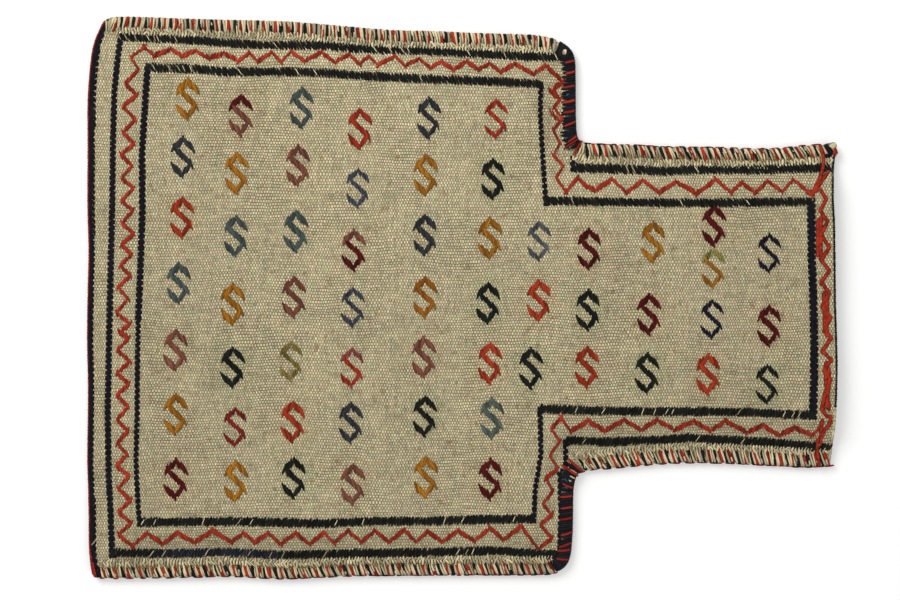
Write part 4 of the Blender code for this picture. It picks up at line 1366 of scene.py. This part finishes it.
for name, (long, plait_inset, braid, places) in SEAMS.items():
    loops = []
    rows = []
    for (start, lean), (end, last_lean) in zip(places, places[1:]):
        edge_run = outline_between(start, end)
        loops += [wrap_edge("loops", edge_run, yarn, seam_loop, SEAM_PITCH, width,
                            reach=reach * long, lean=math.radians(lean),
                            last_lean=math.radians(last_lean),
                            wander=SEAM_WANDER, shift=SEAM_SHIFT, every=every, which=which)
                  for yarn, every, which, width, reach in TURNS]
        for offset, length, angle in PLAIT_ROWS:
            rows.append(lay_stitches("plait", [shifted(edge_run, plait_inset + offset)],
                                     "seam_ivory", PLAIT_PITCH, length, PLAIT_WIDTH,
                                     PLAIT_HEIGHT, lean=math.radians(angle),
                                     wander=PLAIT_WANDER, uneven=PLAIT_UNEVEN))
    if name == "side_seam_left":
        loops.append(wrap_edge("loops", outline_between(*CORNER_FILL), "seam_ivory", seam_loop,
                               SEAM_PITCH, CORNER_FILL_WIDTH, reach=CORNER_FILL_REACH,
                               lean=math.radians(CORNER_FILL_LEAN)))
    bag_piece(joined(name.replace("seam", "stitches"), loops), "stitch_yarn", name)
    bag_piece(joined(name.replace("seam", "plait"), rows), "ivory_yarn", braid)

# Edge yarns. The coloured yarns of the seams run on between the stitches at the very edge, where
# they show from the side as short pieces of red and navy wool.
EDGE_YARN_PITCH = 0.0094
EDGE_YARN_LENGTH = 0.0056
EDGE_YARN_WIDTH = 0.0012
EDGE_YARN_OUT = -0.0001
EDGE_YARN_WANDER = 0.06
EDGE_YARN_UNEVEN = 0.4
EDGE_YARN_STARTS = (("seam_red", 0), ("seam_navy", 2))
for name in ("side_seam_right", "neck_seam_right", "neck_seam_left"):
    places = SEAMS[name][-1]
    edge_run = shifted(outline_between(places[0][0], places[-1][0]), EDGE_YARN_OUT)
    middle = (MARGIN_TOP + back_skin) / 2
    pieces = []
    for yarn, first in EDGE_YARN_STARTS:
        run = [(*point, middle) for point in edge_run[first:]]
        pieces.append(lay_stitches("edge_yarn", [run], yarn, EDGE_YARN_PITCH, EDGE_YARN_LENGTH,
                                   EDGE_YARN_WIDTH, EDGE_YARN_WIDTH, lift=0.0,
                                   wander=EDGE_YARN_WANDER, uneven=EDGE_YARN_UNEVEN,
                                   on_cloth=False))
    bag_piece(joined(name.replace("seam", "edge_yarn"), pieces), "stitch_yarn")

# Shoulder bindings. Navy wool wrapped closely over the cut edge of each shoulder, held by single
# wraps of red; at the inner corners the wraps fan out.
BINDING_LEG = 0.0104
BINDING_PITCH = 0.00135
BINDING_WIDTH = 0.00165
BINDING_THICK = 0.0013
BINDING_UNEVEN = 0.1
RED_WRAPS_LEFT = (
    # down the photo in pixels, lean in degrees
    (61, 10), (72, 11), (85.8, 9), (97.6, 14), (109.8, 14), (119.8, 20), (134.2, 20),
)
RED_WRAPS_RIGHT = (
    (486.6, -16), (493.8, 7), (505, 12), (517.6, 10), (529.7, 24), (540.6, 22), (550.3, 14),
    (560, 18),
)
RED_WRAP_LEG = 0.0094
RED_WRAP_WIDTH = 0.0019
RED_WRAP_THICK = 0.0021
BINDING_LEAN = 8
CORNER_PITCH = 0.0009
CORNER_REACH = 1.05
CORNER_UNEVEN = 0.2
CORNER_SPANS = {
    "shoulder_binding_left": ((576.6, 130), (582, 141.6)),
    "shoulder_binding_right": ((582, 471.5), (574.5, 484)),
}
CORNER_STRANDS = {
    # ends, yarn, width
    "shoulder_binding_left": (
        ((562.8, 149.6), (577.6, 139.4), "seam_red", 0.0021),
        ((572.8, 156.4), (580.4, 142.6), "seam_red", 0.0019),
        ((566, 95.6), (568.8, 94.2), "worn_blue", 0.0014),
        ((564.8, 139.4), (567.4, 137.2), "worn_blue", 0.0014),
        ((567.4, 150), (570.4, 148), "worn_blue", 0.0014),
    ),
    "shoulder_binding_right": (
        ((561, 464.6), (577, 475.2), "seam_red", 0.0023),
        ((567.2, 458), (581, 470.6), "seam_red", 0.0019),
        ((568.4, 468.4), (577, 473), "seam_ivory", 0.0012),
        ((569.6, 475.6), (574.8, 478.4), "seam_ivory", 0.0012),
        ((568.6, 480), (571.2, 481.4), "seam_ivory", 0.0013),
        ((564.4, 478), (567, 481.8), "worn_blue", 0.0018),
        ((565, 487), (568, 488.6), "worn_blue", 0.0012),
    ),
}
BINDINGS = {
    "shoulder_binding_left": ((559.6, 40.4), (579, 139.8), RED_WRAPS_LEFT, 576.3),
    "shoulder_binding_right": ((579.5, 472.5), (557, 573), RED_WRAPS_RIGHT, 573.4),
}
dye_yarns(binding_navy=(32, 31, 36), worn_blue=(52, 88, 118))
binding_loop = loop_blank("binding_loop", BINDING_LEG, BINDING_THICK, BLUNT_TAPER)
red_loop = loop_blank("red_loop", RED_WRAP_LEG, RED_WRAP_THICK, BLUNT_TAPER)
for name, (start, end, red_places, across) in BINDINGS.items():
    edge_run = outline_between(start, end)
    lean = math.radians(BINDING_LEAN)
    pieces = [wrap_edge("wraps", edge_run, "binding_navy", binding_loop, BINDING_PITCH,
                        BINDING_WIDTH, lean=lean, uneven=BINDING_UNEVEN)]
    corner_run = outline_between(*CORNER_SPANS[name])
    pieces.append(wrap_edge("corner_wraps", corner_run, "binding_navy", binding_loop,
                            CORNER_PITCH, BINDING_WIDTH, reach=CORNER_REACH,
                            uneven=CORNER_UNEVEN))
    for first, last, yarn, width in CORNER_STRANDS[name]:
        middle = (Vector(first) + Vector(last)) / 2
        length = (Vector(last) - Vector(first)).length * PIXEL
        run = photo_path((middle, middle + (Vector(last) - middle) / 10))
        pieces.append(lay_stitches("strand", [run], yarn, 1.0, length, width, width,
                                   lift=BINDING_THICK, wander=0.0))
    for down, red_lean in red_places:
        index = outline_number((across, down))
        pieces.append(wrap_edge("red_wrap", outline[index:index + 2], "seam_red", red_loop,
                                1.0, RED_WRAP_WIDTH, lean=math.radians(red_lean),
                                every=2))
    bag_piece(joined(name.replace("binding", "wraps"), pieces), "navy_yarn", name)

# Fold band. The cloth ends in rows of navy weft that run round the fold to the back, with a
# thin red yarn along the outermost edge.
BAND_ROWS = (
    # how far in, in rows; over how many warps; first and last pixel from top to bottom
    (0, 1, 18, 580), (1, 1, 18, 580), (2, 2, 150, 520), (2, 1, 26, 150), (2, 1, 520, 578),
    (3, 2, 34, 235), (3, 2, 500, 576), (4, 2, 50, 125),
)
BAND_INSET = 0.0019
BAND_ROW = 0.00085
BAND_ANGLES = (74, 50, 26, 2, -22, -48, -76)
BAND_YARN = 0.0013
BAND_STITCH = 0.0026
BAND_SINK = 0.6               # share of the yarn inside the bag's outline
BAND_WANDER = 0.08
RED_RUNS = (
    # where the red yarn lies round the fold: pixel from top to bottom, angle above the middle
    ((20, 40), (60, 42), (112, 34), (200, 24), (310, 14), (330, -4), (490, -4), (505, 16),
     (545, 30), (578, 34)),
    ((552, 52), (578, 60)),
    ((562, 74), (578, 84)),
)
RED_OUT = 0.0006
RED_YARN = 0.0015
fold_run = outline[fold_start - 2:fold_end + 2]
band_middle = (MARGIN_TOP + back_skin) / 2
bend_radius = (MARGIN_TOP - back_skin) / 2


def round_fold(angles, out):
    """A path round the fold; angles are pairs of pixel and degrees above the fold's middle."""
    run = []
    for index, point in enumerate(fold_run):
        down = MIDDLE_PIXEL[1] - point.y / PIXEL
        for (first, low), (last, high) in zip(angles, angles[1:]):
            if first <= down <= last:
                share = (down - first) / (last - first)
                angle = math.radians(low + (high - low) * share)
                reach = bend_radius + out
                inset = BAND_YARN * BAND_SINK + bend_radius - reach * math.cos(angle)
                place = point + inward_at(fold_run, index) * inset
                run.append(Vector((*place, band_middle + reach * math.sin(angle))))
                break
    return run


pieces = []
for side in (1.0, -1.0):
    for number, warps, first, last in BAND_ROWS:
        low = photo_place(0, last).y
        high = photo_place(0, first).y
        row = [point for point in evenly(fold_run, PICK_PITCH / 2) if low <= point.y <= high]
        row = shifted(row, BAND_INSET + number * BAND_ROW)[2 * (number % 2):]
        pieces.append(lay_picks([row], EDGE_HUMP_LENGTH if warps == 2 else HUMP_LENGTH, side,
                                warps))
bends = [(((0, degrees), (PHOTO_SIZE[1], degrees)), "woven_navy", 0.0, BAND_YARN)
         for degrees in BAND_ANGLES]
bends += [(run, "seam_red", RED_OUT, RED_YARN) for run in RED_RUNS]
for number, (angles, yarn, out, thick) in enumerate(bends):
    run = evenly(round_fold(angles, out), WARP_PITCH / 2)[number % 2:]
    pieces.append(lay_stitches("bend_row", [run], yarn, WARP_PITCH, BAND_STITCH, thick, thick,
                               lift=0.0, wander=BAND_WANDER, on_cloth=False))
bag_piece(joined("navy_fold_band", pieces), "navy_yarn", "fold_band")

# Mouth edging. The rims of the front and of the back are whipped over with small stitches,
# navy for most of the front and ivory near its lower end.
RIM_PITCH = 0.0015
RIM_LENGTH = 0.0022
RIM_WIDTH = 0.0024
RIM_HEIGHT = 0.0026
RIM_INSET = 0.0004
RIM_REST = 0.44               # share of the stitch's height over the floor
RIMS = (("front", "woven_navy", 156, 408), ("front", "seam_ivory", 408, 462),
        ("back", "woven_navy", 156, 462))
pieces = []
for layer, yarn, first, last in RIMS:
    run = []
    for point in mouth_edge:
        if photo_place(0, last).y <= point.y <= photo_place(0, first).y:
            low, high = cloth_heights(point)
            height = high if layer == "front" else max(low, RIM_HEIGHT * RIM_REST)
            run.append((point.x - RIM_INSET, point.y, height))
    pieces.append(lay_stitches("rim", [run], yarn, RIM_PITCH, RIM_LENGTH, RIM_WIDTH, RIM_HEIGHT,
                               lift=0.0, on_cloth=False))
bag_piece(joined("mouth_rim", pieces), "navy_yarn", "mouth_edging")

# Knots and loose ends. An ivory knot closes the neck seam at the mouth, between a red and a navy
# end; a smaller one ends the left side's seam at its corner, and one fine fibre has come loose.
KNOTS = {
    # middle, yarn, length, width, height, turn in degrees
    "ivory_knot": ((832, 146), "seam_ivory", 0.0058, 0.0048, 0.0026, 40),
    "red_end": ((834, 153), "seam_red", 0.0036, 0.0028, 0.0026, 70),
    "navy_end": ((827, 156), "woven_navy", 0.0036, 0.0030, 0.0026, 30),
    "navy_stroke": ((830, 150), "woven_navy", 0.0074, 0.0022, 0.0026, -75),
    "corner_knot": ((564, 52), "seam_ivory", 0.0040, 0.0030, 0.0026, 80),
    "loose_fibre": ((94, 541.8), "line_ivory", 0.0068, 0.0003, 0.0003, 50),
}
KNOT_LIFT = 0.2               # share of the knot's height
FIBRE_LIFT = 0.0012
for name, (middle, yarn, length, width, height, turn) in KNOTS.items():
    place = photo_place(*middle)
    level = MARGIN_TOP + (FIBRE_LIFT if name == "loose_fibre" else height * KNOT_LIFT)
    run = [(*place, level), (place.x + PIXEL, place.y, level)]
    knot = lay_stitches(name, [run], yarn, 1.0, length, width, height, lean=math.radians(turn),
                        wander=0.0, uneven=0.0, lift=0.0, on_cloth=False, keep=2.0)
    bag_piece(knot, "stitch_yarn")

# The blanks of the stitches are no pieces of the bag and go; both boxes are kept as a record.
for shape in (blank, seam_loop, binding_loop, red_loop):
    bpy.data.objects.remove(shape, do_unlink=True)
size = {"cad": [list(corner) for corner in cad_box],
        "visual": [list(corner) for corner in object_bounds()]}
